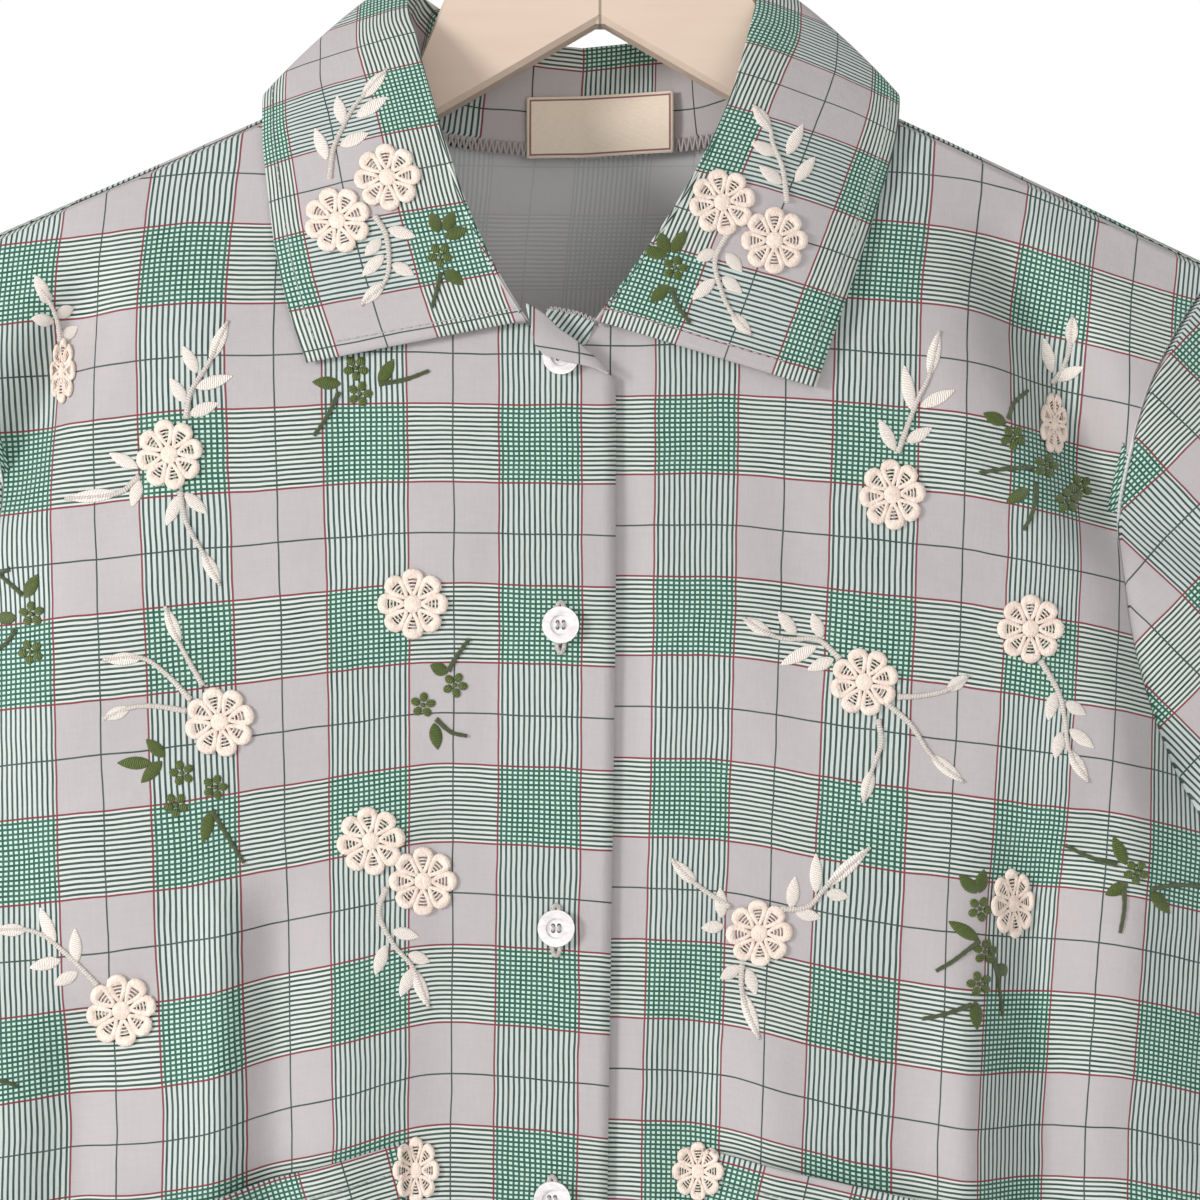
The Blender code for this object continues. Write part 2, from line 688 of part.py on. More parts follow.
def build_flower(flower, hit_y, look, home):
    """Lobed lace disc that follows the cloth it is sewn to."""
    bm = bmesh.new()
    bmesh.ops.create_circle(bm, cap_ends=True, cap_tris=True, segments=2 * PETALS, radius=1.0)
    spokes = [edge for edge in bm.edges if min(v.co.length for v in edge.verts) < 0.1]
    bmesh.ops.subdivide_edges(bm, edges=spokes, cuts=1)
    points = []
    for vertex in bm.verts:
        share = vertex.co.length
        turn = math.atan2(vertex.co.y, vertex.co.x)
        lobe = 1 - PETAL_NOTCH * (0.5 - 0.5 * math.cos(PETALS * turn)) * share
        reach = flower.radius * share * lobe
        x = flower.x + math.cos(turn) * reach * flower.squash
        z = flower.z + math.sin(turn) * reach
        points.append((vertex, x, z, hit_y(x, z)))
    for vertex, x, z, y in points:
        vertex.co = (x, y - TRIM_LIFT, z)
    bm.normal_update()
    for face in bm.faces:
        if face.normal.y > 0:
            face.normal_flip()
    mesh = bpy.data.meshes.new(flower.name)
    bm.to_mesh(mesh)
    bm.free()
    made = bpy.data.objects.new(flower.name, mesh)
    mesh.materials.append(look)
    home.objects.link(made)
    solid = made.modifiers.new("lace", "SOLIDIFY")
    solid.thickness = FLOWER_THICK
    solid.offset = 1.0
    return made


def build_flowers(carriers, look, home):
    for flower in FLOWERS:
        below = [carriers[flower.carrier]]
        on_pocket = flower.carrier.startswith("pocket")
        if on_pocket:
            below.append(carriers["front_" + flower.carrier.split("_")[1]])
        reach = POCKET_FLOWER_REACH if on_pocket else FLOWER_REACH
        build_flower(flower, surface_of(below, reach), look, home)


def build_buttons(fronts, look, home):
    """Turned discs with a raised rim, centred on the placket."""
    radius = BUTTON_DIAMETER / 2
    hit_y = surface_of(fronts.values(), radius)
    half = BUTTON_THICK / 2
    profile = (
        (0.0, -half * 0.5),
        (radius * 0.62, -half * 0.5),
        (radius * 0.80, -half),
        (radius * 0.97, -half * 0.6),
        (radius, 0.0),
        (radius * 0.8, half),
        (0.0, half),
    )
    for number, drop in enumerate(BUTTON_DROPS, 1):
        z = front_neck(90).y - drop
        x = centre_x(z)
        bm = bmesh.new()
        ring = [bm.verts.new((r, y, 0)) for r, y in profile]
        for a, b in zip(ring, ring[1:]):
            bm.edges.new((a, b))
        mesh = bpy.data.meshes.new("button_%d" % number)
        bm.to_mesh(mesh)
        bm.free()
        made = bpy.data.objects.new(mesh.name, mesh)
        mesh.materials.append(look)
        home.objects.link(made)
        nearest = hit_y(x, z)
        made.location = (x, nearest - BUTTON_CLEAR - half, z)
        spin = made.modifiers.new("turn", "SCREW")
        spin.axis = "Y"
        spin.steps = BUTTON_SEGMENTS
        spin.render_steps = BUTTON_SEGMENTS
        spin.use_merge_vertices = True
        spin.merge_threshold = 0.00001
        spin.use_normal_calculate = True


def board_top(x):
    if abs(x) < BOARD_UPPER[-1].x:
        return read(BOARD_UPPER, abs(x))
    return shoulder_z(abs(x) - COLLAR_SHIFT) - BOARD_CLEAR


def board_bottom(x):
    return read(BOARD_LOWER, abs(x))


def build_hanger(wood, steel, home):
    """Flat board cut to a shallow bow, and a wire hook that stands on its top edge."""
    reach = [BOARD_HALF_SPAN * i / BOARD_STEPS for i in range(-BOARD_STEPS, BOARD_STEPS + 1)]
    bm = bmesh.new()
    upper = [bm.verts.new((x, -BOARD_HALF_THICK, board_top(x))) for x in reach]
    lower = [bm.verts.new((x, -BOARD_HALF_THICK, board_bottom(x))) for x in reach]
    for i in range(2 * BOARD_STEPS):
        bm.faces.new((upper[i], upper[i + 1], lower[i + 1], lower[i]))
    bm.normal_update()
    if sum(face.normal.y for face in bm.faces) > 0:
        bmesh.ops.reverse_faces(bm, faces=bm.faces)
    mesh = bpy.data.meshes.new("hanger_board")
    bm.to_mesh(mesh)
    bm.free()
    board = bpy.data.objects.new("hanger_board", mesh)
    mesh.materials.append(wood)
    home.objects.link(board)
    solid = board.modifiers.new("thickness", "SOLIDIFY")
    solid.thickness = 2 * BOARD_HALF_THICK
    solid.offset = -1.0
    round_over = board.modifiers.new("round_over", "BEVEL")
    round_over.width = BOARD_ROUND
    round_over.segments = 1
    round_over.limit_method = "ANGLE"
    round_over.angle_limit = math.radians(60)

    radius = HOOK_INNER_RADIUS + HOOK_WIRE / 2
    middle_z = -HOOK_INNER_RADIUS
    route = [(0.0, BOARD_TOP_Z + HOOK_CLEAR), (0.0, HOOK_STEM_TOP_Z), HOOK_BEND]
    for step in range(HOOK_ARC_STEPS + 1):
        turn = math.radians(HOOK_ARC_START - HOOK_ARC_SWEEP * step / HOOK_ARC_STEPS)
        route.append((radius * math.cos(turn), middle_z + radius * math.sin(turn)))
    curve = bpy.data.curves.new("hanger_hook", "CURVE")
    curve.dimensions = "3D"
    curve.bevel_depth = HOOK_WIRE / 2
    curve.bevel_resolution = 2
    curve.use_fill_caps = True
    spline = curve.splines.new("POLY")
    spline.points.add(len(route) - 1)
    for point, (x, z) in zip(spline.points, route):
        point.co = (x, 0.0, z, 1.0)
    hook = bpy.data.objects.new("hanger_hook", curve)
    curve.materials.append(steel)
    home.objects.link(hook)


def build_label(look, home):
    """Woven patch on the inside of the collar, over the neck seam."""
    def point(s, t):
        x = (s - 0.5) * LABEL_WIDTH
        z = LABEL_TOP_Z - t * LABEL_HEIGHT
        share = 1 - abs(x - COLLAR_SHIFT) / NECK_HALF_WIDTH * LABEL_NECK_SHARE
        seam, roll, _, _ = collar_frame("right" if x > COLLAR_SHIFT else "left", share)
        y = mix(seam.y, roll.y, smooth((z - seam.z) / (roll.z - seam.z)))
        return Vector((x, y - LABEL_CLEAR, z))

    return wall_object(
        "label", spaced(8), spaced(3), point, lambda at: Vector((0, -1, 0)), look, home, wall=-LABEL_THICK
    )


def main():
    clear_scene()
    home = collection("embroidered_shirt")
    check = material("checked_cotton", (0.52, 0.68, 0.62), 0.75)
    lace = material("cream_lace", (0.88, 0.80, 0.74), 0.8)
    pearl = material("pearl_button", (0.86, 0.80, 0.80), 0.25)
    cream_wood = material("cream_paint", (0.80, 0.66, 0.52), 0.45)
    steel = material("hook_steel", (0.72, 0.72, 0.72), 0.25, 1.0)
    ribbon = material("label_ribbon", (0.74, 0.58, 0.44), 0.8)
    fronts = build_fronts(check, home)
    build_back(check, home)
    build_sleeves(check, home)
    collar = build_collar(check, home)
    bpy.context.view_layer.update()
    pockets = build_pockets(fronts, check, home)
    build_label(ribbon, home)
    bpy.context.view_layer.update()
    build_flowers({**fronts, **pockets, "collar": collar}, lace, home)
    build_buttons(fronts, pearl, home)
    build_hanger(cream_wood, steel, home)


main()
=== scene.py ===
"""Looks of a short-sleeved checked shirt with lace flowers, buttoned up on a flat wooden hanger.

Metres, +Z up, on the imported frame. The front faces -Y, +X is the viewer's right, and u is the
distance from the centre front or back. The cloth follows the same curves as its solids, on finer
grids, and its check follows the threads: U runs across the cloth and V along it.
"""

from collections import namedtuple
import math

import bpy
import numpy as np
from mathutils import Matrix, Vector
from mathutils.bvhtree import BVHTree


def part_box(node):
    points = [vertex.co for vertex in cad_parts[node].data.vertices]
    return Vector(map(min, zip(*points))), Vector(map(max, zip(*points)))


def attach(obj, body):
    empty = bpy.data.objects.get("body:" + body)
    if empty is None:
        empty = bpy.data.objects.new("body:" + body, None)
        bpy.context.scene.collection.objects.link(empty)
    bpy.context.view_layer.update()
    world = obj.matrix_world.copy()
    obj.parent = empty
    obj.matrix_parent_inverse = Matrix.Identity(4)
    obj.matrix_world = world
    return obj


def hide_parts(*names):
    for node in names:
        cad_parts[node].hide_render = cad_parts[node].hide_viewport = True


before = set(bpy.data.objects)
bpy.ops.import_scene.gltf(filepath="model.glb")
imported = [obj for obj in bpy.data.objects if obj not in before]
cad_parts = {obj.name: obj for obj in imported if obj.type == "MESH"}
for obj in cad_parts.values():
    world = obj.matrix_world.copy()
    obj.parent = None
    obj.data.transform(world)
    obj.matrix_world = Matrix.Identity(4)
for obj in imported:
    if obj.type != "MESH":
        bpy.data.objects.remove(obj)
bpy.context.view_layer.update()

# Shoulders and neck
SHOULDER_RIDGE_Z = -0.1065
SHOULDER_SLOPE = 0.4536
NECK_HALF_WIDTH = 0.080
FRONT_NECK_DROP = 0.083
BACK_NECK_DROP = 0.0162
SHOULDER_TIP_U = 0.215

# Body
HEM_Z = -0.779
UNDERARM_Z = -0.415
PLACKET_LAP = 0.0175
PLACKET_CORNER_DROP = 0.017
FRONT_DEPTH = 0.040
BACK_DEPTH = 0.036
DEPTH_RISE = 0.075
SEAM_FORWARD = 0.0078
SEAM_GAP = 0.0007
FRONT_SEAM_DROP = 0.0022
SHELF = 0.0125
BACK_WRAP = 0.018
BACK_CREST = 0.002
CORNER_POWER = 5
SHELF_POWER = 9
FOLD_FADE = 0.035
FRONT_FOLD_START = 0.008
BACK_FOLD_START = 0.030
FOLD_START_LENGTH = 0.050
UNDER_LAP_STEP = 0.0022
UNDER_LAP_U = 0.030
UNDER_LAP_EASE = 0.010
SHIFT_LENGTH = 0.090
COLLAR_SHIFT = -0.006
FRONT_SHIFT = -0.0125
LEAN = -0.0145
LEAN_TOP_Z = -0.320

# Shares of a panel
NECK_SHARE = 0.40
LAP_SHARE = 0.12
EDGE_SHARE = 0.1
ARMHOLE_SHARE = 0.36

# Sleeves
SLEEVE_LENGTH = 0.240
SLEEVE_HEM_WIDTH = 0.182
SLEEVE_HEM_DEPTH = 0.030
SLEEVE_ANGLE = math.radians(45)
CAP_ROUND = 0.010
SLEEVE_CLEAR = 0.0011
SLEEVE_TIP_CLEAR = 0.0010

# Hook
BOARD_TOP_Z = -0.072
HOOK_WIRE = 0.0040
HOOK_INNER_RADIUS = 0.018
HOOK_STEM_TOP_Z = -0.046
HOOK_BEND = (-0.006, -0.0385)
HOOK_ARC_START = 215
HOOK_ARC_SWEEP = 220

# Trims
BUTTON_RADIUS = 0.00595
BUTTON_THICK = 0.0024
LABEL_WIDTH = 0.050
LABEL_HEIGHT = 0.0213
LABEL_TOP_Z = -0.1408
LABEL_CLEAR = 0.0014
LABEL_TILT = 0.04
LABEL_NECK_SHARE = 0.42

CLOTH = 0.0005
COLLAR_CLOTH = 0.0009

Width = namedtuple("Width", "z half_width")
BODY_WIDTHS = (
    Width(-0.20, 0.250),
    Width(-0.415, 0.238),
    Width(-0.60, 0.250),
    Width(-0.779, 0.264),
)

Edge = namedtuple("Edge", "z u")
ARMHOLE = (
    Edge(-0.2040, 0.215),
    Edge(-0.2230, 0.203),
    Edge(-0.2450, 0.191),
    Edge(-0.2700, 0.184),
    Edge(-0.2980, 0.182),
    Edge(-0.3300, 0.186),
    Edge(-0.3620, 0.197),
    Edge(-0.3920, 0.214),
    Edge(-0.4150, 0.238),
)

Fold = namedtuple("Fold", "u_top z_top u_bottom z_bottom bow width recess")
FRONT_FOLDS = {
    "left": (
        Fold(0.152, -0.185, 0.196, -0.305, -0.006, 0.012, 0.015),
        Fold(0.141, -0.170, 0.149, -0.235, 0.000, 0.010, -0.004),
        Fold(0.188, -0.285, 0.214, -0.400, 0.000, 0.018, 0.012),
        Fold(0.106, -0.390, 0.110, -0.950, 0.000, 0.009, -0.007),
        Fold(0.088, -0.390, 0.088, -0.950, 0.000, 0.010, 0.004),
        Fold(0.036, -0.350, 0.036, -0.500, 0.000, 0.012, 0.002),
        Fold(0.150, -0.430, 0.162, -0.950, 0.004, 0.015, 0.009),
    ),
    "right": (
        Fold(0.144, -0.168, 0.192, -0.315, -0.008, 0.0135, 0.019),
        Fold(0.188, -0.285, 0.214, -0.400, 0.000, 0.018, 0.014),
        Fold(0.130, -0.420, 0.134, -0.950, 0.000, 0.010, -0.006),
        Fold(0.152, -0.380, 0.160, -0.950, 0.000, 0.014, 0.012),
        Fold(0.044, -0.420, 0.046, -0.520, 0.000, 0.012, 0.003),
        Fold(0.082, -0.560, 0.084, -0.950, 0.000, 0.016, 0.005),
    ),
}
BACK_FOLDS = {
    "left": (
        Fold(0.128, -0.190, 0.172, -0.420, -0.008, 0.014, 0.012),
        Fold(0.070, -0.300, 0.086, -0.950, 0.000, 0.018, 0.010),
        Fold(0.170, -0.400, 0.182, -0.950, 0.000, 0.015, 0.009),
    ),
    "right": (
        Fold(0.120, -0.190, 0.168, -0.400, -0.008, 0.014, 0.014),
        Fold(0.048, -0.340, 0.052, -0.950, 0.004, 0.016, 0.009),
        Fold(0.128, -0.370, 0.136, -0.950, 0.000, 0.018, 0.011),
    ),
}
# Small creases and soft hollows that only the cloth has
FRONT_CREASES = {
    "left": (
        Fold(0.128, -0.405, 0.096, -0.436, 0.003, 0.0045, 0.0012),
        Fold(0.118, -0.398, 0.090, -0.424, 0.002, 0.0050, -0.0010),
        Fold(0.060, -0.230, 0.074, -0.330, 0.003, 0.0110, 0.0013),
        Fold(0.112, -0.200, 0.128, -0.330, 0.004, 0.0100, -0.0015),
        Fold(0.020, -0.270, 0.022, -0.420, 0.002, 0.0060, 0.0007),
        Fold(0.066, -0.400, 0.062, -0.540, 0.003, 0.0090, -0.0013),
        Fold(0.130, -0.420, 0.128, -0.600, 0.004, 0.0080, 0.0016),
        Fold(0.176, -0.300, 0.168, -0.430, 0.006, 0.0090, 0.0022),
        Fold(0.056, -0.560, 0.050, -0.740, 0.004, 0.0120, 0.0020),
        Fold(0.190, -0.520, 0.196, -0.760, 0.004, 0.0120, 0.0030),
        Fold(0.128, -0.600, 0.136, -0.770, 0.002, 0.0090, -0.0016),
    ),
    "right": (
        Fold(0.118, -0.210, 0.130, -0.300, 0.004, 0.0090, -0.0014),
        Fold(0.066, -0.250, 0.078, -0.370, 0.004, 0.0110, 0.0013),
        Fold(0.024, -0.260, 0.027, -0.460, 0.001, 0.0040, 0.0012),
        Fold(0.150, -0.330, 0.136, -0.420, 0.005, 0.0080, 0.0018),
        Fold(0.104, -0.380, 0.108, -0.520, 0.004, 0.0090, 0.0012),
        Fold(0.066, -0.440, 0.070, -0.560, 0.003, 0.0090, -0.0013),
        Fold(0.176, -0.330, 0.180, -0.470, 0.006, 0.0090, -0.0022),
        Fold(0.056, -0.600, 0.050, -0.760, 0.004, 0.0120, 0.0022),
        Fold(0.196, -0.500, 0.200, -0.760, 0.004, 0.0120, 0.0030),
        Fold(0.110, -0.610, 0.114, -0.770, 0.002, 0.0090, -0.0018),
    ),
}
BACK_CREASES = {
    "left": (
        Fold(0.040, -0.160, 0.060, -0.300, 0.004, 0.0120, 0.0018),
        Fold(0.110, -0.330, 0.104, -0.520, 0.005, 0.0100, -0.0018),
        Fold(0.030, -0.420, 0.034, -0.700, 0.003, 0.0110, 0.0022),
        Fold(0.140, -0.520, 0.146, -0.770, 0.003, 0.0100, -0.0020),
    ),
    "right": (
        Fold(0.056, -0.170, 0.070, -0.320, 0.004, 0.0120, 0.0016),
        Fold(0.094, -0.340, 0.090, -0.560, 0.005, 0.0100, -0.0018),
        Fold(0.178, -0.420, 0.186, -0.700, 0.003, 0.0120, 0.0030),
        Fold(0.012, -0.480, 0.016, -0.760, 0.003, 0.0110, -0.0018),
    ),
}
SIDES = {"left": -1, "right": 1}

# Half of the collar from its front end to the centre back
Station = namedtuple("Station", "neck_angle roll_u roll_y roll_z edge_u edge_z")
COLLAR = (
    Station(-81.5, 0.0105, -0.0490, -0.2245, 0.0815, -0.2410),
    Station(-60.0, 0.0225, -0.0480, -0.2065, 0.0880, -0.2230),
    Station(-38.0, 0.0360, -0.0435, -0.1820, 0.0940, -0.2040),
    Station(-18.0, 0.0480, -0.0330, -0.1520, 0.0995, -0.1830),
    Station(-6.0, 0.0560, -0.0165, -0.1235, 0.1035, -0.1650),
    Station(0.0, 0.0600, 0.0020, -0.1060, 0.1050, -0.1520),
    Station(22.0, 0.0560, 0.0140, -0.1080, 0.0985, -0.1660),
    Station(45.0, 0.0420, 0.0225, -0.1155, 0.0730, -0.1800),
    Station(68.0, 0.0220, 0.0275, -0.1215, 0.0380, -0.1865),
    Station(90.0, 0.0000, 0.0290, -0.1240, 0.0000, -0.1885),
)
COLLAR_POINT_DROP = {"left": 0.0035, "right": -0.0045}
COLLAR_LIFT = 0.0034
COLLAR_OVER_SHOULDER = 0.005
COLLAR_PUFF = 0.006
COLLAR_ROLL = 0.0055
COLLAR_STAND_IN = 0.0046
COLLAR_STAND_UP = 0.0018
STAND_SHARE = 0.38
NECK_ALLOWANCE = 0.0023

Pocket = namedtuple("Pocket", "inner_u inner_z outer_z")
POCKETS = {
    "left": Pocket(0.045, -0.485, -0.523),
    "right": Pocket(0.052, -0.489, -0.520),
}
POCKET_WIDTH = 0.135
POCKET_HEIGHT = 0.150
POCKET_LIFT = 0.0010
POCKET_GAPE = 0.0045

# The check: its repeat, its dense band between two red lines, and its green lines
Weave = namedtuple("Weave", "repeat band_half line_pitch line_offset")
ACROSS = Weave(0.0546, 0.0130, 0.00169, 0.0)
DOWN = Weave(0.0575, 0.0125, 0.00150, 0.5)
LINE_WIDTH = 0.00070
SINGLE_WIDTH = 0.00050
RED_WIDTH = 0.00060
BAND_U = {"left": 0.0064, "right": 0.0428}
BAND_Z = -0.3198
BACK_BAND_X = 0.0115
BACK_BAND_Z = -0.1933
FLANK_U = 0.195
FLANK_EASE = 0.02
SIDE_ALLOWANCE = ((0.0012, 0.0004), (0.0017, 0.0022), (0.0018, 0.0045))
COLLAR_BAND = {"left": 0.031, "right": 0.018}
COLLAR_BACK_SHIFT = {"left": 0.0162, "right": 0.0246}
COLLAR_EDGE_BAND = 0.002
STAND_CHECK_DROP = 0.0034
STAND_LEVEL = 0.0034
STAND_SPREAD = {"left": 0.20, "right": 0.0}

# How the check lies on the fronts: how far its lines are moved, at two heights, as the cloth is
# pulled between the hanger's ends and its own weight
Lie = namedtuple("Lie", "u high low")
LIE_HIGH_Z = -0.25
LIE_LOW_Z = -0.43
DROOP = {
    "left": (
        Lie(-0.0175, 0.0014, 0.0040),
        Lie(0.011, 0.0015, 0.0018),
        Lie(0.040, 0.0010, 0.0010),
        Lie(0.065, 0.0009, 0.0060),
        Lie(0.097, 0.0022, 0.0125),
        Lie(0.125, 0.0030, 0.0180),
        Lie(0.159, 0.0062, 0.0215),
        Lie(0.250, 0.0150, 0.0320),
    ),
    "right": (
        Lie(-0.020, -0.0015, -0.0010),
        Lie(0.025, -0.0014, -0.0008),
        Lie(0.055, -0.0018, 0.0010),
        Lie(0.080, -0.0003, 0.0065),
        Lie(0.104, 0.0012, 0.0112),
        Lie(0.128, 0.0034, 0.0142),
        Lie(0.150, 0.0075, 0.0165),
        Lie(0.175, 0.0140, 0.0175),
        Lie(0.190, 0.0180, 0.0200),
        Lie(0.250, 0.0340, 0.0360),
    ),
}
SPREAD = {
    "left": (
        Lie(-0.0175, 0.0, 0.0010),
        Lie(0.019, -0.0004, 0.0004),
        Lie(0.049, -0.0012, 0.0014),
        Lie(0.077, -0.0026, 0.0030),
        Lie(0.106, -0.0048, 0.0032),
        Lie(0.137, -0.0080, 0.0010),
        Lie(0.166, -0.0083, -0.0008),
        Lie(0.250, -0.0090, -0.0010),
    ),
    "right": (
        Lie(-0.020, 0.0, 0.0012),
        Lie(0.030, -0.0004, 0.0011),
        Lie(0.057, -0.0010, 0.0024),
        Lie(0.088, -0.0030, 0.0034),
        Lie(0.115, -0.0046, 0.0006),
        Lie(0.146, -0.0066, 0.0030),
        Lie(0.170, -0.0052, 0.0060),
        Lie(0.250, -0.0040, 0.0060),
    ),
}

# The front view, in units of 0.32 mm at the chest, from its upper left corner
EYE = Vector((0.0, -1.045, -0.3136))
VIEW_STEP = 0.00032
VIEW_CENTRE = 600

# Lace flowers: where the centre shows, half its width and half its height, and its turn
Flower = namedtuple("Flower", "name carrier x y half_width half_height turn")
FLOWERS = (
    Flower("collar_left_upper", "collar", 388, 178, 34, 34, 5),
    Flower("collar_left_lower", "collar", 338, 221, 34, 34, 20),
    Flower("collar_right_upper", "collar", 722, 203, 34, 34, 10),
    Flower("collar_right_lower", "collar", 774, 241, 34, 34, 0),
    Flower("left_shoulder", "front_left", 63, 371, 14, 34, 0),
    Flower("left_chest", "front_left", 170, 455, 34, 36, 12),
    Flower("left_placket", "front_left", 413, 604, 36, 36, 0),
    Flower("left_side", "front_left", 220, 722, 36, 36, 15),
    Flower("left_pair_upper", "front_left", 371, 841, 35, 35, 8),
    Flower("left_pair_lower", "front_left", 423, 881, 35, 35, 0),
    Flower("left_waist", "front_left", 122, 1010, 36, 37, 10),
    Flower("left_pocket", "pocket_left", 416, 1170, 24, 34, 0),
    Flower("right_shoulder", "front_right", 1053, 424, 15, 32, 20),
    Flower("right_chest", "front_right", 892, 495, 34, 36, 5),
    Flower("right_side", "front_right", 1030, 629, 34, 35, 0),
    Flower("right_middle", "front_right", 864, 682, 35, 35, 14),
    Flower("right_hip", "front_right", 1012, 903, 23, 36, 6),
    Flower("right_waist", "front_right", 759, 933, 34, 34, 3),
    Flower("right_pocket", "pocket_right", 698, 1171, 27, 30, 0),
)

# Satin stitch sprigs: leaves from base to tip, stems through their points, and five-petalled buds
Leaf = namedtuple("Leaf", "base_x base_y tip_x tip_y")
Bud = namedtuple("Bud", "x y")
Sprig = namedtuple("Sprig", "carrier stems leaves buds")
WHITE_SPRIGS = (
    Sprig(
        "collar",
        (
            ((330, 179), (334, 149), (342, 130), (353, 109), (362, 98), (387, 70)),
            ((375, 216), (386, 235), (389, 266), (384, 283), (361, 305)),
            ((787, 203), (782, 168), (772, 142), (770, 130), (753, 105)),
            ((728, 233), (715, 260), (720, 287), (732, 314), (751, 335)),
        ),
        (
            Leaf(343, 124, 337, 96),
            Leaf(356, 117, 388, 97),
            Leaf(327, 160, 315, 128),
            Leaf(340, 146, 369, 133),
            Leaf(388, 229, 416, 237),
            Leaf(381, 239, 365, 256),
            Leaf(384, 255, 362, 276),
            Leaf(392, 264, 414, 275),
            Leaf(787, 155, 803, 124),
            Leaf(776, 155, 751, 142),
            Leaf(782, 184, 759, 166),
            Leaf(795, 182, 815, 157),
            Leaf(715, 251, 696, 260),
            Leaf(726, 253, 742, 272),
            Leaf(715, 279, 692, 300),
            Leaf(722, 277, 742, 293),
        ),
        (),
    ),
    Sprig(
        "front_left",
        (
            ((186, 419), (191, 392), (210, 361), (228, 321)),
            ((140, 476), (119, 493), (65, 499)),
            ((180, 491), (186, 522), (203, 553), (220, 585)),
            ((203, 686), (180, 644), (165, 606)),
            ((191, 700), (165, 673), (142, 658), (103, 660)),
            ((187, 711), (153, 706), (130, 708), (103, 719)),
            ((386, 887), (379, 914), (394, 945), (413, 968), (429, 1008)),
            ((98, 985), (73, 960), (46, 937), (27, 930), (-6, 930)),
            ((60, 342), (57, 322), (50, 303), (41, 290)),
        ),
        (
            Leaf(197, 373, 183, 346),
            Leaf(186, 403, 170, 378),
            Leaf(195, 388, 233, 376),
            Leaf(189, 415, 219, 403),
            Leaf(138, 468, 109, 453),
            Leaf(140, 480, 132, 507),
            Leaf(180, 495, 166, 526),
            Leaf(184, 493, 207, 514),
            Leaf(392, 931, 419, 937),
            Leaf(386, 945, 375, 975),
            Leaf(408, 954, 430, 962),
            Leaf(413, 968, 400, 997),
            Leaf(55, 945, 40, 907),
            Leaf(76, 964, 75, 928),
            Leaf(61, 960, 29, 968),
            Leaf(78, 972, 54, 985),
            Leaf(48, 300, 35, 275),
            Leaf(54, 322, 31, 318),
            Leaf(56, 316, 74, 307),
            Leaf(60, 340, 78, 326),
        ),
        (),
    ),
    Sprig(
        "front_right",
        (
            ((898, 453), (906, 430), (918, 399), (929, 376), (939, 331)),
            ((1052, 384), (1063, 369), (1071, 346), (1073, 315)),
            ((1040, 660), (1059, 694), (1065, 723), (1069, 750), (1088, 782)),
            ((840, 659), (822, 642), (811, 639), (788, 639), (771, 635), (743, 618)),
            ((897, 697), (920, 696), (947, 690), (968, 676)),
            ((886, 703), (910, 724), (931, 755), (963, 782)),
            ((878, 719), (881, 743), (872, 770), (863, 803)),
            ((730, 907), (696, 884), (671, 859)),
            ((772, 909), (807, 907), (826, 887), (870, 847)),
            ((742, 964), (742, 991), (759, 1039)),
        ),
        (
            Leaf(912, 411, 904, 365),
            Leaf(920, 407, 955, 390),
            Leaf(895, 451, 879, 419),
            Leaf(906, 442, 932, 428),
            Leaf(1052, 373, 1044, 338),
            Leaf(1055, 380, 1084, 367),
            Leaf(1055, 692, 1048, 721),
            Leaf(1065, 702, 1086, 715),
            Leaf(1061, 732, 1055, 759),
            Leaf(1069, 729, 1094, 748),
            Leaf(796, 635, 778, 611),
            Leaf(822, 638, 812, 613),
            Leaf(817, 646, 780, 665),
            Leaf(834, 659, 807, 670),
            Leaf(722, 918, 720, 887),
            Leaf(724, 926, 701, 928),
            Leaf(791, 909, 795, 876),
            Leaf(816, 893, 816, 853),
            Leaf(826, 893, 849, 897),
            Leaf(795, 912, 821, 918),
            Leaf(740, 966, 720, 979),
            Leaf(747, 968, 756, 995),
        ),
        (),
    ),
)
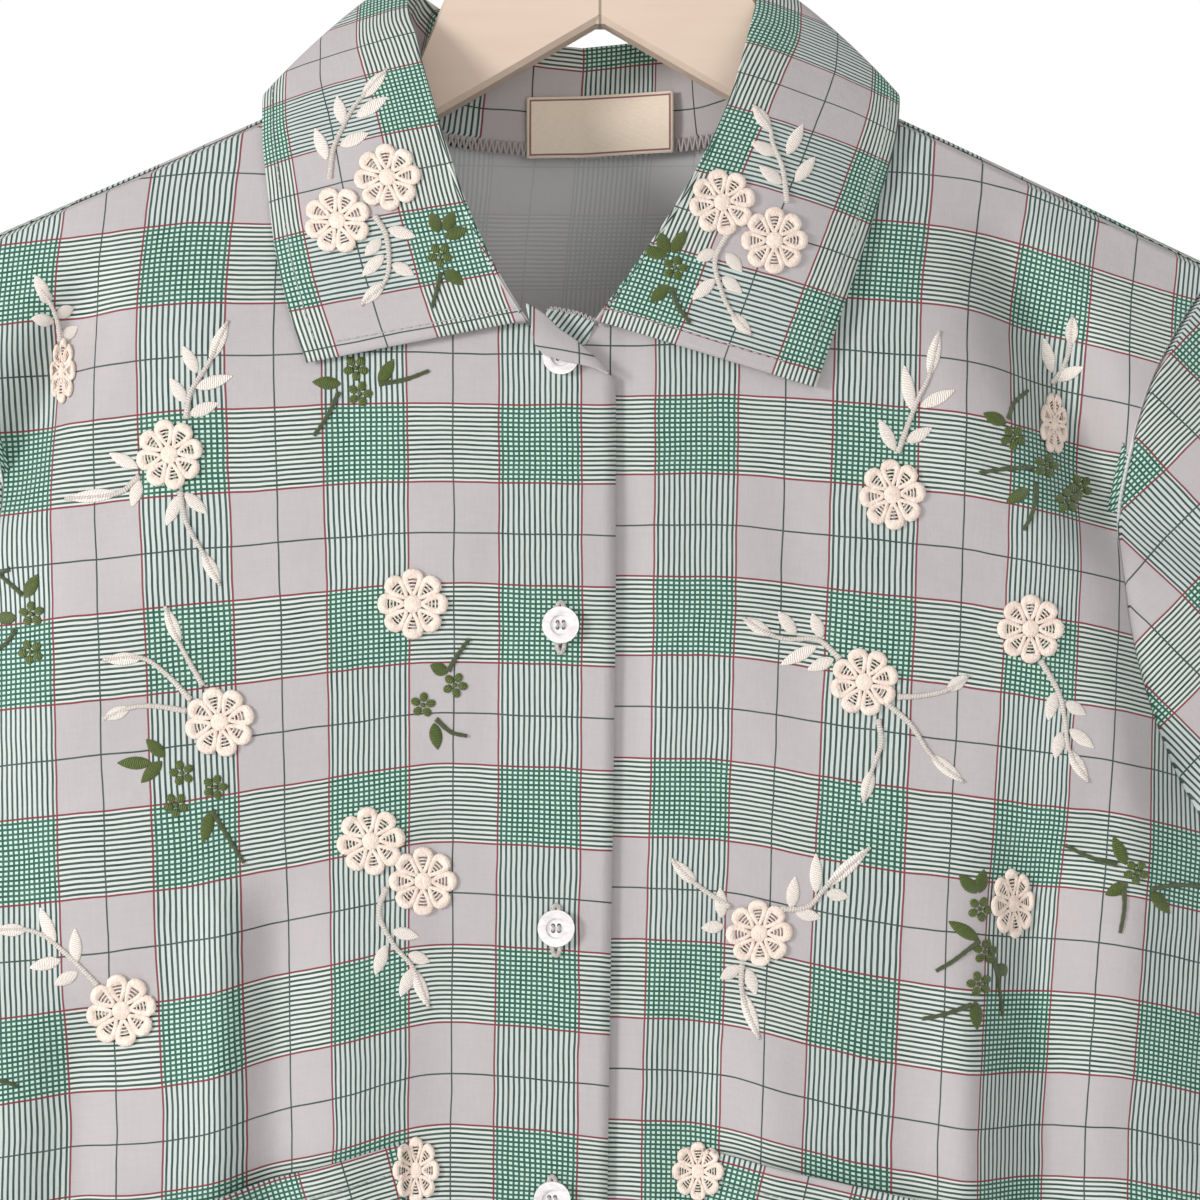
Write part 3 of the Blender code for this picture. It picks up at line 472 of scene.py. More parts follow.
GREEN_SPRIGS = (
    Sprig(
        "collar",
        (
            ((441, 272), (437, 290), (432, 308)),
            ((671, 287), (678, 306), (690, 323)),
        ),
        (
            Leaf(439, 233, 431, 212),
            Leaf(445, 231, 454, 211),
            Leaf(445, 237, 468, 229),
            Leaf(445, 270, 464, 285),
            Leaf(669, 253, 657, 231),
            Leaf(672, 253, 686, 230),
            Leaf(668, 256, 640, 249),
            Leaf(669, 285, 650, 302),
        ),
        (Bud(440, 255), Bud(675, 268)),
    ),
    Sprig(
        "front_left",
        (
            ((379, 384), (404, 380), (429, 371)),
            ((339, 392), (328, 415), (314, 436)),
            ((23, 595), (10, 583), (-6, 570)),
            ((17, 629), (8, 642), (-6, 653)),
            ((448, 671), (457, 656), (469, 639)),
            ((436, 719), (451, 732), (467, 736)),
            ((212, 810), (225, 832), (244, 863)),
            ((-8, 1079), (6, 1082), (17, 1086)),
        ),
        (
            Leaf(341, 384, 312, 382),
            Leaf(379, 384, 394, 359),
            Leaf(25, 598, 38, 574),
            Leaf(17, 618, -6, 618),
            Leaf(448, 673, 430, 665),
            Leaf(434, 723, 438, 750),
            Leaf(165, 757, 146, 739),
            Leaf(152, 763, 117, 763),
            Leaf(162, 761, 141, 783),
            Leaf(211, 811, 203, 843),
        ),
        (
            Bud(356, 368),
            Bud(360, 394),
            Bud(32, 614),
            Bud(31, 652),
            Bud(455, 685),
            Bud(423, 705),
            Bud(182, 773),
            Bud(176, 805),
            Bud(215, 787),
        ),
    ),
    Sprig(
        "front_right",
        (
            ((1008, 419), (1013, 404), (1027, 391)),
            ((1032, 468), (1005, 469), (979, 473)),
            ((1036, 484), (1034, 505), (1030, 518), (1023, 530)),
            ((979, 941), (953, 961), (936, 971)),
            ((987, 940), (994, 963), (999, 992), (1002, 1016)),
            ((971, 1005), (946, 1014), (922, 1019)),
            ((1117, 865), (1090, 857), (1065, 845)),
            ((1124, 887), (1124, 910), (1120, 933)),
            ((1151, 889), (1176, 885), (1206, 887)),
        ),
        (
            Leaf(1006, 424, 983, 413),
            Leaf(1029, 489, 1006, 503),
            Leaf(977, 893, 959, 875),
            Leaf(979, 893, 984, 869),
            Leaf(979, 940, 948, 921),
            Leaf(997, 964, 1006, 976),
            Leaf(975, 1001, 977, 1030),
            Leaf(1126, 865, 1113, 836),
            Leaf(1128, 884, 1105, 895),
            Leaf(1151, 891, 1170, 914),
        ),
        (
            Bud(1013, 438),
            Bud(1046, 466),
            Bud(1067, 501),
            Bud(1080, 487),
            Bud(980, 909),
            Bud(985, 952),
            Bud(979, 984),
            Bud(1136, 872),
        ),
    ),
)


# ---- Curves of the cloth, the same as those of its solids


def smooth(share):
    share = np.clip(share, 0.0, 1.0)
    return share * share * (3 - 2 * share)


def mix(a, b, share):
    return a + (b - a) * share


def read(rows, at):
    """The second and later columns of a table at values of its first column, on a smooth curve."""
    table = np.array([tuple(row) for row in rows], dtype=float)
    if table[0, 0] > table[-1, 0]:
        table = table[::-1]
    keys, values = table[:, 0], table[:, 1:]
    at = np.clip(np.asarray(at, dtype=float), keys[0], keys[-1])
    i = np.clip(np.searchsorted(keys, at, side="right") - 1, 0, len(keys) - 2)
    count = np.arange(len(keys))
    low, high = np.maximum(count - 1, 0), np.minimum(count + 1, len(keys) - 1)
    slopes = (values[high] - values[low]) / (keys[high] - keys[low])[:, None]
    span = (keys[i + 1] - keys[i])[..., None]
    t = (at - keys[i])[..., None] / span
    found = (
        values[i] * (2 * t**3 - 3 * t**2 + 1)
        + slopes[i] * (span * (t**3 - 2 * t**2 + t))
        + values[i + 1] * (3 * t**2 - 2 * t**3)
        + slopes[i + 1] * (span * (t**3 - t**2))
    )
    return found[..., 0] if values.shape[1] == 1 else found


def pair(a, b):
    a, b = np.broadcast_arrays(a, b)
    return np.stack([a, b], axis=-1)


def point_of(x, y, z):
    x, y, z = np.broadcast_arrays(x, y, z)
    return np.stack([x, y, z], axis=-1)


def shoulder_z(u):
    return SHOULDER_RIDGE_Z - SHOULDER_SLOPE * np.abs(u)


def centre_x(z):
    shift = mix(COLLAR_SHIFT, FRONT_SHIFT, smooth((shoulder_z(NECK_HALF_WIDTH) - z) / SHIFT_LENGTH))
    return shift + LEAN * np.maximum(LEAN_TOP_Z - z, 0.0)


def depth_rise(drop):
    return 1 - np.exp(-((np.maximum(drop, 0.0) / DEPTH_RISE) ** 1.2))


def side_share(u, z):
    return np.minimum(np.abs(u) / read(BODY_WIDTHS, z), 1.0)


def roundness(u, z):
    return np.sqrt(1 - side_share(u, z) ** CORNER_POWER)


def shelf_depth(u, z):
    return SHELF * np.sqrt(1 - side_share(u, z) ** SHELF_POWER)


def fold_depth(folds, u, z):
    total = np.zeros(np.broadcast(u, z).shape)
    for fold in folds:
        length = fold.z_top - fold.z_bottom
        t = (fold.z_top - z) / length
        line = mix(fold.u_top, fold.u_bottom, t) + fold.bow * 4 * t * (1 - t)
        fade_length = min(FOLD_FADE / length, 0.5)
        fade = smooth(t / fade_length) * smooth((1 - t) / fade_length)
        total = total + fold.recess * fade * np.exp(-(((u - line) / fold.width) ** 2))
    return total


def front_y(side, u, z, creased=True):
    drop = shoulder_z(u) - z
    folds = FRONT_FOLDS[side] + (FRONT_CREASES[side] if creased else ())
    forward = shelf_depth(u, z) + FRONT_DEPTH * depth_rise(drop) * roundness(u, z)
    return fold_depth(folds, u, z) * smooth((drop - FRONT_FOLD_START) / FOLD_START_LENGTH) - forward


def back_y(side, u, z):
    drop = shoulder_z(u) - z
    folds = BACK_FOLDS[side] + BACK_CREASES[side]
    depth = shelf_depth(u, z) + BACK_DEPTH * depth_rise(drop) * roundness(u, z)
    return depth - fold_depth(folds, u, z) * smooth((drop - BACK_FOLD_START) / FOLD_START_LENGTH)


def front_neck(angle):
    a = np.radians(angle)
    top = shoulder_z(NECK_HALF_WIDTH) - FRONT_SEAM_DROP
    return pair(NECK_HALF_WIDTH * np.cos(a), top - (FRONT_NECK_DROP - FRONT_SEAM_DROP) * np.sin(a))


def back_neck(angle):
    a = np.radians(angle)
    return pair(NECK_HALF_WIDTH * np.cos(a), shoulder_z(NECK_HALF_WIDTH) - BACK_NECK_DROP * np.sin(a))


def shoulder_seam(share, lowered=0.0):
    u = mix(NECK_HALF_WIDTH, SHOULDER_TIP_U, share)
    return pair(u, shoulder_z(u) - lowered)


def outer_edge(t, lowered=0.0):
    t = np.asarray(t, dtype=float)
    arm_z = mix(ARMHOLE[0].z - lowered, UNDERARM_Z, t / ARMHOLE_SHARE)
    side_z = mix(UNDERARM_Z, HEM_Z, (t - ARMHOLE_SHARE) / (1 - ARMHOLE_SHARE))
    on_arm = t < ARMHOLE_SHARE
    z = np.where(on_arm, arm_z, side_z)
    return pair(np.where(on_arm, read(ARMHOLE, z), read(BODY_WIDTHS, z)), z)


def patch(s, t, top, inner):
    """A Coons patch between a panel's top edge, its inner edge, its outer edge and the hem."""
    s, t = np.broadcast_arrays(np.asarray(s, dtype=float), np.asarray(t, dtype=float))
    across, down = s[..., None], t[..., None]
    first, last = top(np.array(0.0)), top(np.array(1.0))
    outer = outer_edge(t, shoulder_z(SHOULDER_TIP_U) - last[1])
    low = inner(np.array(1.0))
    hem = low + (outer_edge(1.0) - low) * across
    corners = (first + (last - first) * across) * (1 - down) + hem * down
    return top(s) * (1 - down) + hem * down + inner(t) * (1 - across) + outer * across - corners


def front_uz(side, s, t):
    corner_drop = PLACKET_CORNER_DROP if side == "left" else 0.0
    corner = np.array((-PLACKET_LAP, shoulder_z(NECK_HALF_WIDTH) - FRONT_NECK_DROP - corner_drop))
    hem_corner = np.array((-PLACKET_LAP, HEM_Z))
    neck_end = front_neck(-COLLAR[0].neck_angle)

    def top(share):
        lap = NECK_SHARE * LAP_SHARE
        on_lap = corner + (neck_end - corner) * (share / lap)[..., None]
        round_neck = -COLLAR[0].neck_angle * (1 - (share / NECK_SHARE - LAP_SHARE) / (1 - LAP_SHARE))
        on_neck = front_neck(round_neck)
        on_shoulder = shoulder_seam((share - NECK_SHARE) / (1 - NECK_SHARE), FRONT_SEAM_DROP)
        found = np.where((share < lap)[..., None], on_lap, on_neck)
        return np.where((share >= NECK_SHARE)[..., None], on_shoulder, found)

    return patch(s, t, top, lambda share: corner + (hem_corner - corner) * share[..., None])


def back_uz(s, t):
    centre = np.array((0, shoulder_z(NECK_HALF_WIDTH) - BACK_NECK_DROP))
    hem_centre = np.array((0, HEM_Z))

    def top(share):
        on_neck = back_neck(90 * (1 - share / NECK_SHARE))
        on_shoulder = shoulder_seam((share - NECK_SHARE) / (1 - NECK_SHARE))
        return np.where((share >= NECK_SHARE)[..., None], on_shoulder, on_neck)

    return patch(s, t, top, lambda share: centre + (hem_centre - centre) * share[..., None])


def front_points(side, s, t, creased=True):
    uz = front_uz(side, s, t)
    u, z = uz[..., 0], uz[..., 1]
    y = front_y(side, u, z, creased) - SEAM_GAP * smooth((s - 1) / EDGE_SHARE + 1)
    if side == "right":
        y = y + UNDER_LAP_STEP * smooth((UNDER_LAP_U - u) / UNDER_LAP_EASE)
    return point_of(SIDES[side] * u + centre_x(z), y, z), u, z


def back_surface(side, u, z):
    drop = np.maximum(shoulder_z(u) - z, 0.0)
    turn = np.minimum(drop / BACK_WRAP, 1.0)
    y = mix(-SEAM_FORWARD + SEAM_GAP, back_y(side, u, z), smooth(turn))
    z = z + drop * (1 - turn**3) + BACK_CREST * np.sin(math.pi * turn)
    return point_of(SIDES[side] * u + centre_x(z), y, z)


def back_points(side, s, t):
    uz = back_uz(s, t)
    u, z = uz[..., 0], uz[..., 1]
    points = back_surface(side, u, z)
    points[..., 1] += SEAM_GAP * smooth((s - 1) / EDGE_SHARE + 1) * smooth(t / EDGE_SHARE)
    return points, u, z


def armhole_points(side, share):
    """Points of the armhole loop: 0 at the shoulder, then the front, 0.5 under the arm, then the back."""
    down = ARMHOLE_SHARE * np.minimum(share * 2, 2 - share * 2)
    ones = np.ones_like(down)
    front = front_points(side, ones, down, creased=False)[0]
    back = back_points(side, ones, down)[0]
    ends = np.minimum(np.minimum(share, 1 - share), np.abs(share - 0.5)) / 0.012
    on_front = np.where(share < 0.5, 0.5 + 0.5 * smooth(ends), 0.5 - 0.5 * smooth(ends))
    return back + (front - back) * on_front[..., None]


def sleeve_points(side, share, along):
    start = armhole_points(side, share)
    out = SIDES[side]
    axis = np.array((out * math.cos(SLEEVE_ANGLE), 0, -math.sin(SLEEVE_ANGLE)))
    across = np.array((out * math.sin(SLEEVE_ANGLE), 0, math.cos(SLEEVE_ANGLE)))
    tip = armhole_points(side, np.array(0.0))
    middle = np.array((tip[0], 0, tip[2])) + axis * SLEEVE_LENGTH - across * SLEEVE_HEM_WIDTH / 2
    turn = 2 * math.pi * share
    height = np.cos(turn) * SLEEVE_HEM_WIDTH / 2
    hem = middle + across * height[..., None]
    hem[..., 1] -= SLEEVE_HEM_DEPTH * np.sin(turn)
    under = 0.5 - 0.5 * np.cos(turn)
    points = start + (hem - start) * along[..., None]
    points[..., 0] = mix(start[..., 0], hem[..., 0], along ** mix(1.0, 0.5, under))
    points[..., 2] = mix(start[..., 2], hem[..., 2], along ** mix(1.0, 1.9, under))
    bulge = np.sin(math.pi * np.minimum(along * 1.6, 1.0)) * (1 - under)
    points += across * (CAP_ROUND * bulge)[..., None]
    clear = (SLEEVE_CLEAR + SLEEVE_TIP_CLEAR * (1 - under) ** 12) * (1 - along)
    points[..., 0] += out * (1 - under * 0.6) * clear
    points[..., 2] += under * clear
    return points


def unit(vectors):
    return vectors / np.linalg.norm(vectors, axis=-1, keepdims=True)


def collar_frame(side, share):
    """Seam, roll and edge of the collar at shares of its half: 0 at the front end, 1 at the centre back."""
    share = np.asarray(share, dtype=float)
    rows = [(i / (len(COLLAR) - 1), *station) for i, station in enumerate(COLLAR)]
    angle, roll_u, roll_y, roll_z, edge_u, edge_z = np.moveaxis(read(rows, share), -1, 0)
    out = SIDES[side]
    front = front_neck(np.maximum(-angle, 0.0))
    on_front = point_of(
        out * front[..., 0] + centre_x(front[..., 1]),
        front_y(side, front[..., 0], front[..., 1], creased=False),
        front[..., 1],
    )
    back = back_neck(np.maximum(angle, 0.0))
    on_back = back_surface(side, back[..., 0], back[..., 1])
    seam = np.where((angle < 0)[..., None], on_front, on_back)
    middle = point_of(centre_x(seam[..., 2]), 0.0, seam[..., 2])
    inward = unit(middle - seam)
    inward = np.array((0, 0, 1)) + (inward - np.array((0, 0, 1))) * smooth((angle + 78) / 16)[..., None]
    opened = smooth((angle + 84) / 16)[..., None]
    seam = seam + (inward * COLLAR_STAND_IN + np.array((0, 0, COLLAR_STAND_UP))) * opened
    roll = point_of(out * roll_u + centre_x(roll_z), roll_y, roll_z)
    edge_z = edge_z + COLLAR_POINT_DROP[side] * smooth((0.5 - share) / 0.5)
    edge_y = front_y(side, edge_u, edge_z, creased=False) - COLLAR_LIFT
    front_edge = point_of(out * edge_u + centre_x(edge_z), edge_y, edge_z)
    back_edge = back_surface(side, edge_u, edge_z) + np.array((0, 0.8, 0.6)) * COLLAR_LIFT
    blend = smooth((share - 5 / (len(COLLAR) - 1) + 0.10) / 0.20)
    edge = front_edge + (back_edge - front_edge) * blend[..., None]
    edge[..., 2] += COLLAR_OVER_SHOULDER * np.sin(math.pi * blend)
    outward = edge - roll
    outward[..., 2] = 0.0
    # The seam's allowance, which lies inside the neck edge
    inside = np.where(angle < 0, 0.0010, -0.0004)[..., None] * np.array((0, 1, 0))
    tuck = seam - inward * (COLLAR_STAND_IN - 0.0010) * opened + inside
    tuck = tuck - np.array((0, 0, 1)) * (0.0003 + (COLLAR_STAND_UP + NECK_ALLOWANCE) * opened)
    return seam, roll, edge, unit(outward), tuck


def bezier(a, b, c, d, t):
    return a * (1 - t) ** 3 + b * 3 * t * (1 - t) ** 2 + c * 3 * t * t * (1 - t) + d * t**3


def collar_points(side, share, across):
    seam, roll, edge, outward, _ = collar_frame(side, share)
    fullness = smooth(share / 0.25)[..., None]
    t = np.minimum(across / STAND_SHARE, 1.0)[..., None]
    stand = bezier(seam, (seam + roll) / 2, roll - outward * COLLAR_ROLL * 0.5 * fullness, roll, t)
    t = np.maximum((across - STAND_SHARE) / (1 - STAND_SHARE), 0.0)[..., None]
    forward = np.array((0, -0.6, 0)) * (1 - smooth((share - 0.4) / 0.2))[..., None]
    puff = (outward * 0.5 + np.array((0, 0, 0.5)) + forward) * COLLAR_PUFF
    leaf = bezier(
        roll,
        roll + outward * COLLAR_ROLL * (0.4 + 0.6 * fullness),
        edge * 0.55 + roll * 0.45 + puff * fullness,
        edge,
        t,
    )
    return np.where((across <= STAND_SHARE)[..., None], stand, leaf)


# ---- Meshes


def put(made):
    bpy.context.scene.collection.objects.link(made)
    return made


def only(made):
    bpy.ops.object.select_all(action="DESELECT")
    made.select_set(True)
    bpy.context.view_layer.objects.active = made


def apply_all(made):
    only(made)
    for modifier in list(made.modifiers):
        bpy.ops.object.modifier_apply(modifier=modifier.name)


def grid_faces(rows, columns):
    index = np.arange(rows * columns).reshape(rows, columns)
    faces = np.stack([index[:-1, :-1], index[:-1, 1:], index[1:, 1:], index[1:, :-1]], axis=-1)
    return faces.reshape(-1, 4)


def sheet_mesh(name, points, uv):
    rows, columns = points.shape[:2]
    faces = grid_faces(rows, columns)
    mesh = bpy.data.meshes.new(name)
    mesh.from_pydata(points.reshape(-1, 3).tolist(), [], faces.tolist())
    layer = mesh.uv_layers.new(name="cloth")
    layer.data.foreach_set("uv", uv.reshape(-1, 2)[faces.ravel()].astype(np.float32).ravel())
    return mesh


Ground = namedtuple("Ground", "tree corners normals")


def ground_of(*sheets):
    """What trims are laid on: the outer faces of one or more sheets."""
    corners, normals, places, count = [], [], [], 0
    for points, facing in sheets:
        rows, columns = points.shape[:2]
        along = np.gradient(points, axis=1)
        down = np.gradient(points, axis=0)
        normal = unit(np.cross(along, down) + 1e-12)
        if np.sum(normal.reshape(-1, 3) @ np.array(facing)) < 0:
            normal = -normal
        corners.append(grid_faces(rows, columns) + count)
        normals.append(normal.reshape(-1, 3))
        places.append(points.reshape(-1, 3))
        count += rows * columns
    corners = np.concatenate(corners)
    tree = BVHTree.FromPolygons(np.concatenate(places).tolist(), corners.tolist())
    return Ground(tree, corners, np.concatenate(normals))


def touch(ground, x, y):
    """Where the front view's point (x, y) meets the cloth, and which way the cloth faces there."""
    toward = Vector(((x - VIEW_CENTRE) * VIEW_STEP, 1.0, (VIEW_CENTRE - y) * VIEW_STEP))
    at, _, face, _ = ground.tree.ray_cast(EYE, toward.normalized())
    if at is None:
        at, _, face, _ = ground.tree.find_nearest(EYE + toward)
    normal = ground.normals[ground.corners[face]].mean(axis=0)
    return np.array(at), normal / np.linalg.norm(normal)


def cloth(name, points, uv, looks, facing=None, around=None, wall=CLOTH, ring=False):
    """A sheet over a grid of points, facing one way or away from a point, given its wall inside."""
    mesh = sheet_mesh(name, points, uv)
    made = put(bpy.data.objects.new(name, mesh))
    only(made)
    bpy.ops.object.mode_set(mode="EDIT")
    bpy.ops.mesh.select_all(action="SELECT")
    if ring:
        bpy.ops.mesh.remove_doubles(threshold=0.00001)
    bpy.ops.object.mode_set(mode="OBJECT")
    if facing:
        facing_now = sum(Vector(facing).dot(face.normal) * face.area for face in mesh.polygons)
    else:
        middle = Vector(around)
        facing_now = sum((face.center - middle).dot(face.normal) * face.area for face in mesh.polygons)
    if facing_now < 0:
        mesh.flip_normals()
    for look in looks:
        mesh.materials.append(look)
    solid = made.modifiers.new("wall", "SOLIDIFY")
    solid.thickness = wall
    solid.offset = -1.0
    solid.material_offset = len(looks) - 1
    apply_all(made)
    made.data.shade_smooth()
    return made


def tube(points, radii, sides=8, up=(0.0, 1.0, 0.0), flat=1.0):
    """Corners, faces and thread coordinates of a thread along a run of points, closed at its ends."""
    points = np.asarray(points, dtype=float)
    radii = np.broadcast_to(radii, len(points)).astype(float)
    along = unit(np.gradient(points, axis=0))
    first = unit(np.cross(along, np.array(up)) + np.array((1e-9, 0, 1e-9)))
    second = np.cross(along, first) * flat
    angles = np.linspace(0, 2 * math.pi, sides + 1)[:-1]
    rings = (
        points[:, None]
        + first[:, None] * (np.cos(angles)[None, :, None] * radii[:, None, None])
        + second[:, None] * (np.sin(angles)[None, :, None] * radii[:, None, None])
    )
    length = np.concatenate([[0.0], np.cumsum(np.linalg.norm(np.diff(points, axis=0), axis=1))])
    corners = rings.reshape(-1, 3).tolist()
    faces, marks = [], []
    for i in range(len(points) - 1):
        for k in range(sides):
            m = (k + 1) % sides
            faces.append((i * sides + k, i * sides + m, (i + 1) * sides + m, (i + 1) * sides + k))
            around = (k / sides, (k + 1) / sides, (k + 1) / sides, k / sides)
            marks += zip(around, (length[i], length[i], length[i + 1], length[i + 1]))
    for end, order in ((0, 1), (len(points) - 1, -1)):
        ring = [end * sides + k for k in range(sides)][:: -order]
        faces.append(tuple(ring))
        marks += [(0.5, length[end])] * sides
    return corners, faces, marks


def thread_piece(name, tubes, look):
    """One piece of many threads."""
    corners, faces, marks = [], [], []
    for made_corners, made_faces, made_marks in tubes:
        start = len(corners)
        corners += made_corners
        faces += [tuple(start + i for i in face) for face in made_faces]
        marks += made_marks
    mesh = bpy.data.meshes.new(name)
    mesh.from_pydata(corners, [], faces)
    layer = mesh.uv_layers.new(name="cloth")
    layer.data.foreach_set("uv", np.array(marks, dtype=np.float32).ravel())
    made = put(bpy.data.objects.new(name, mesh))
    only(made)
    bpy.ops.object.mode_set(mode="EDIT")
    bpy.ops.mesh.select_all(action="SELECT")
    bpy.ops.mesh.normals_make_consistent(inside=False)
    bpy.ops.object.mode_set(mode="OBJECT")
    mesh.materials.append(look)
    mesh.shade_smooth()
    return made


def run_through(points, step):
    """A smooth run of points, at even steps, through a few given ones."""
    points = np.asarray(points, dtype=float)
    length = np.concatenate([[0.0], np.cumsum(np.linalg.norm(np.diff(points, axis=0), axis=1))])
    count = max(int(round(length[-1] / step)), 2)
    rows = [(at, *point) for at, point in zip(length, points)]
    return read(rows, np.linspace(0, length[-1], count + 1))


def join(name, parts):
    only(parts[0])
    for part in parts[1:]:
        part.select_set(True)
    bpy.ops.object.join()
    parts[0].name = name
    parts[0].data.name = name
    return parts[0]


def laid(name, pattern, ground, to_view, lift, thickness=1.0):
    """A copy of a flat pattern piece, laid on the cloth where the front view shows it."""
    mesh = pattern.data.copy()
    mesh.name = name
    flat = np.empty(len(mesh.vertices) * 3)
    mesh.vertices.foreach_get("co", flat)
    flat = flat.reshape(-1, 3)
    placed = np.empty_like(flat)
    for i, (a, b, height) in enumerate(flat):
        at, normal = touch(ground, *to_view(a, b))
        placed[i] = at + normal * (height * thickness + lift)
    mesh.vertices.foreach_set("co", placed.ravel())
    mesh.update()
    return put(bpy.data.objects.new(name, mesh))


# ---- Materials


def new_material(name, roughness, metallic=0.0, sheen=0.0, coat=0.0):
    made = bpy.data.materials.new(name)
    made.use_nodes = True
    shader = made.node_tree.nodes["Principled BSDF"]
    shader.inputs["Roughness"].default_value = roughness
    shader.inputs["Metallic"].default_value = metallic
    shader.inputs["Sheen Weight"].default_value = sheen
    shader.inputs["Coat Weight"].default_value = coat
    return made, shader


def math_node(tree, operation, a, b=0.5):
    node = tree.nodes.new("ShaderNodeMath")
    node.operation = operation
    for socket, value in zip(node.inputs, (a, b)):
        if hasattr(value, "links"):
            tree.links.new(value, socket)
        else:
            socket.default_value = value
    return node.outputs[0]


def blend_node(tree, share, a, b, kind="MIX"):
    node = tree.nodes.new("ShaderNodeMix")
    node.data_type = "RGBA"
    node.blend_type = kind
    for socket, value in zip((node.inputs[0], node.inputs[6], node.inputs[7]), (share, a, b)):
        if hasattr(value, "links"):
            tree.links.new(value, socket)
        elif isinstance(value, tuple):
            socket.default_value = (*value, 1.0)
        else:
            socket.default_value = value
    return node.outputs[2]


def noise_node(tree, where, scale, detail=2.0, stretch=None):
    if stretch:
        mapping = tree.nodes.new("ShaderNodeMapping")
        mapping.inputs["Scale"].default_value = stretch
        tree.links.new(where, mapping.inputs["Vector"])
        where = mapping.outputs[0]
    node = tree.nodes.new("ShaderNodeTexNoise")
    node.inputs["Scale"].default_value = scale
    node.inputs["Detail"].default_value = detail
    tree.links.new(where, node.inputs["Vector"])
    return node.outputs[0]


def ramp_node(tree, value, low, high, start=0.0, end=1.0):
    node = tree.nodes.new("ShaderNodeMapRange")
    tree.links.new(value, node.inputs["Value"])
    node.inputs["From Min"].default_value = low
    node.inputs["From Max"].default_value = high
    node.inputs["To Min"].default_value = start
    node.inputs["To Max"].default_value = end
    return node.outputs[0]


def bump_node(tree, height, shader, distance, strength=1.0):
    node = tree.nodes.new("ShaderNodeBump")
    node.inputs["Distance"].default_value = distance
    node.inputs["Strength"].default_value = strength
    tree.links.new(height, node.inputs["Height"])
    tree.links.new(node.outputs[0], shader.inputs["Normal"])


def uv_of(tree):
    node = tree.nodes.new("ShaderNodeUVMap")
    node.uv_map = "cloth"
    return node.outputs[0]


def object_of(tree):
    return tree.nodes.new("ShaderNodeTexCoord").outputs["Object"]


LAVENDER = (0.488, 0.450, 0.452)
MINT_WHITE = (0.655, 0.690, 0.640)
WARP_WHITE = (0.575, 0.625, 0.600)
PALE_MINT = (0.560, 0.770, 0.660)
DARK_GREEN = (0.009, 0.042, 0.034)
CROSS_GREEN = (0.004, 0.072, 0.047)
MADDER = (0.210, 0.022, 0.036)


def check_direction(tree, along, weave):
    """Band, green line and red line masks of one direction of the check."""
    turned = math_node(tree, "FRACT", math_node(tree, "ADD", math_node(tree, "DIVIDE", along, weave.repeat), 0.5))
    signed = math_node(tree, "MULTIPLY", math_node(tree, "SUBTRACT", turned, 0.5), weave.repeat)
    apart = math_node(tree, "ABSOLUTE", signed)
    band = ramp_node(tree, apart, weave.band_half - 0.0001, weave.band_half + 0.0001, 1.0, 0.0)
    steps = math_node(tree, "DIVIDE", signed, weave.line_pitch)
    pitch = math_node(tree, "FRACT", math_node(tree, "ADD", steps, 0.5 + weave.line_offset))
    off_line = math_node(tree, "ABSOLUTE", math_node(tree, "SUBTRACT", pitch, 0.5))
    half = LINE_WIDTH / weave.line_pitch / 2
    line = ramp_node(tree, off_line, half - 0.03, half + 0.03, 1.0, 0.0)
    line = math_node(tree, "MULTIPLY", line, band)
    middle = weave.repeat / 2 - SINGLE_WIDTH / 2
    single = ramp_node(tree, apart, middle - 0.00008, middle + 0.00008, 0.0, 1.0)
    line = math_node(tree, "MAXIMUM", line, single)
    off_red = math_node(tree, "ABSOLUTE", math_node(tree, "SUBTRACT", apart, weave.band_half))
    red = ramp_node(tree, off_red, RED_WIDTH / 2 - 0.00008, RED_WIDTH / 2 + 0.00008, 1.0, 0.0)
    return band, line, red


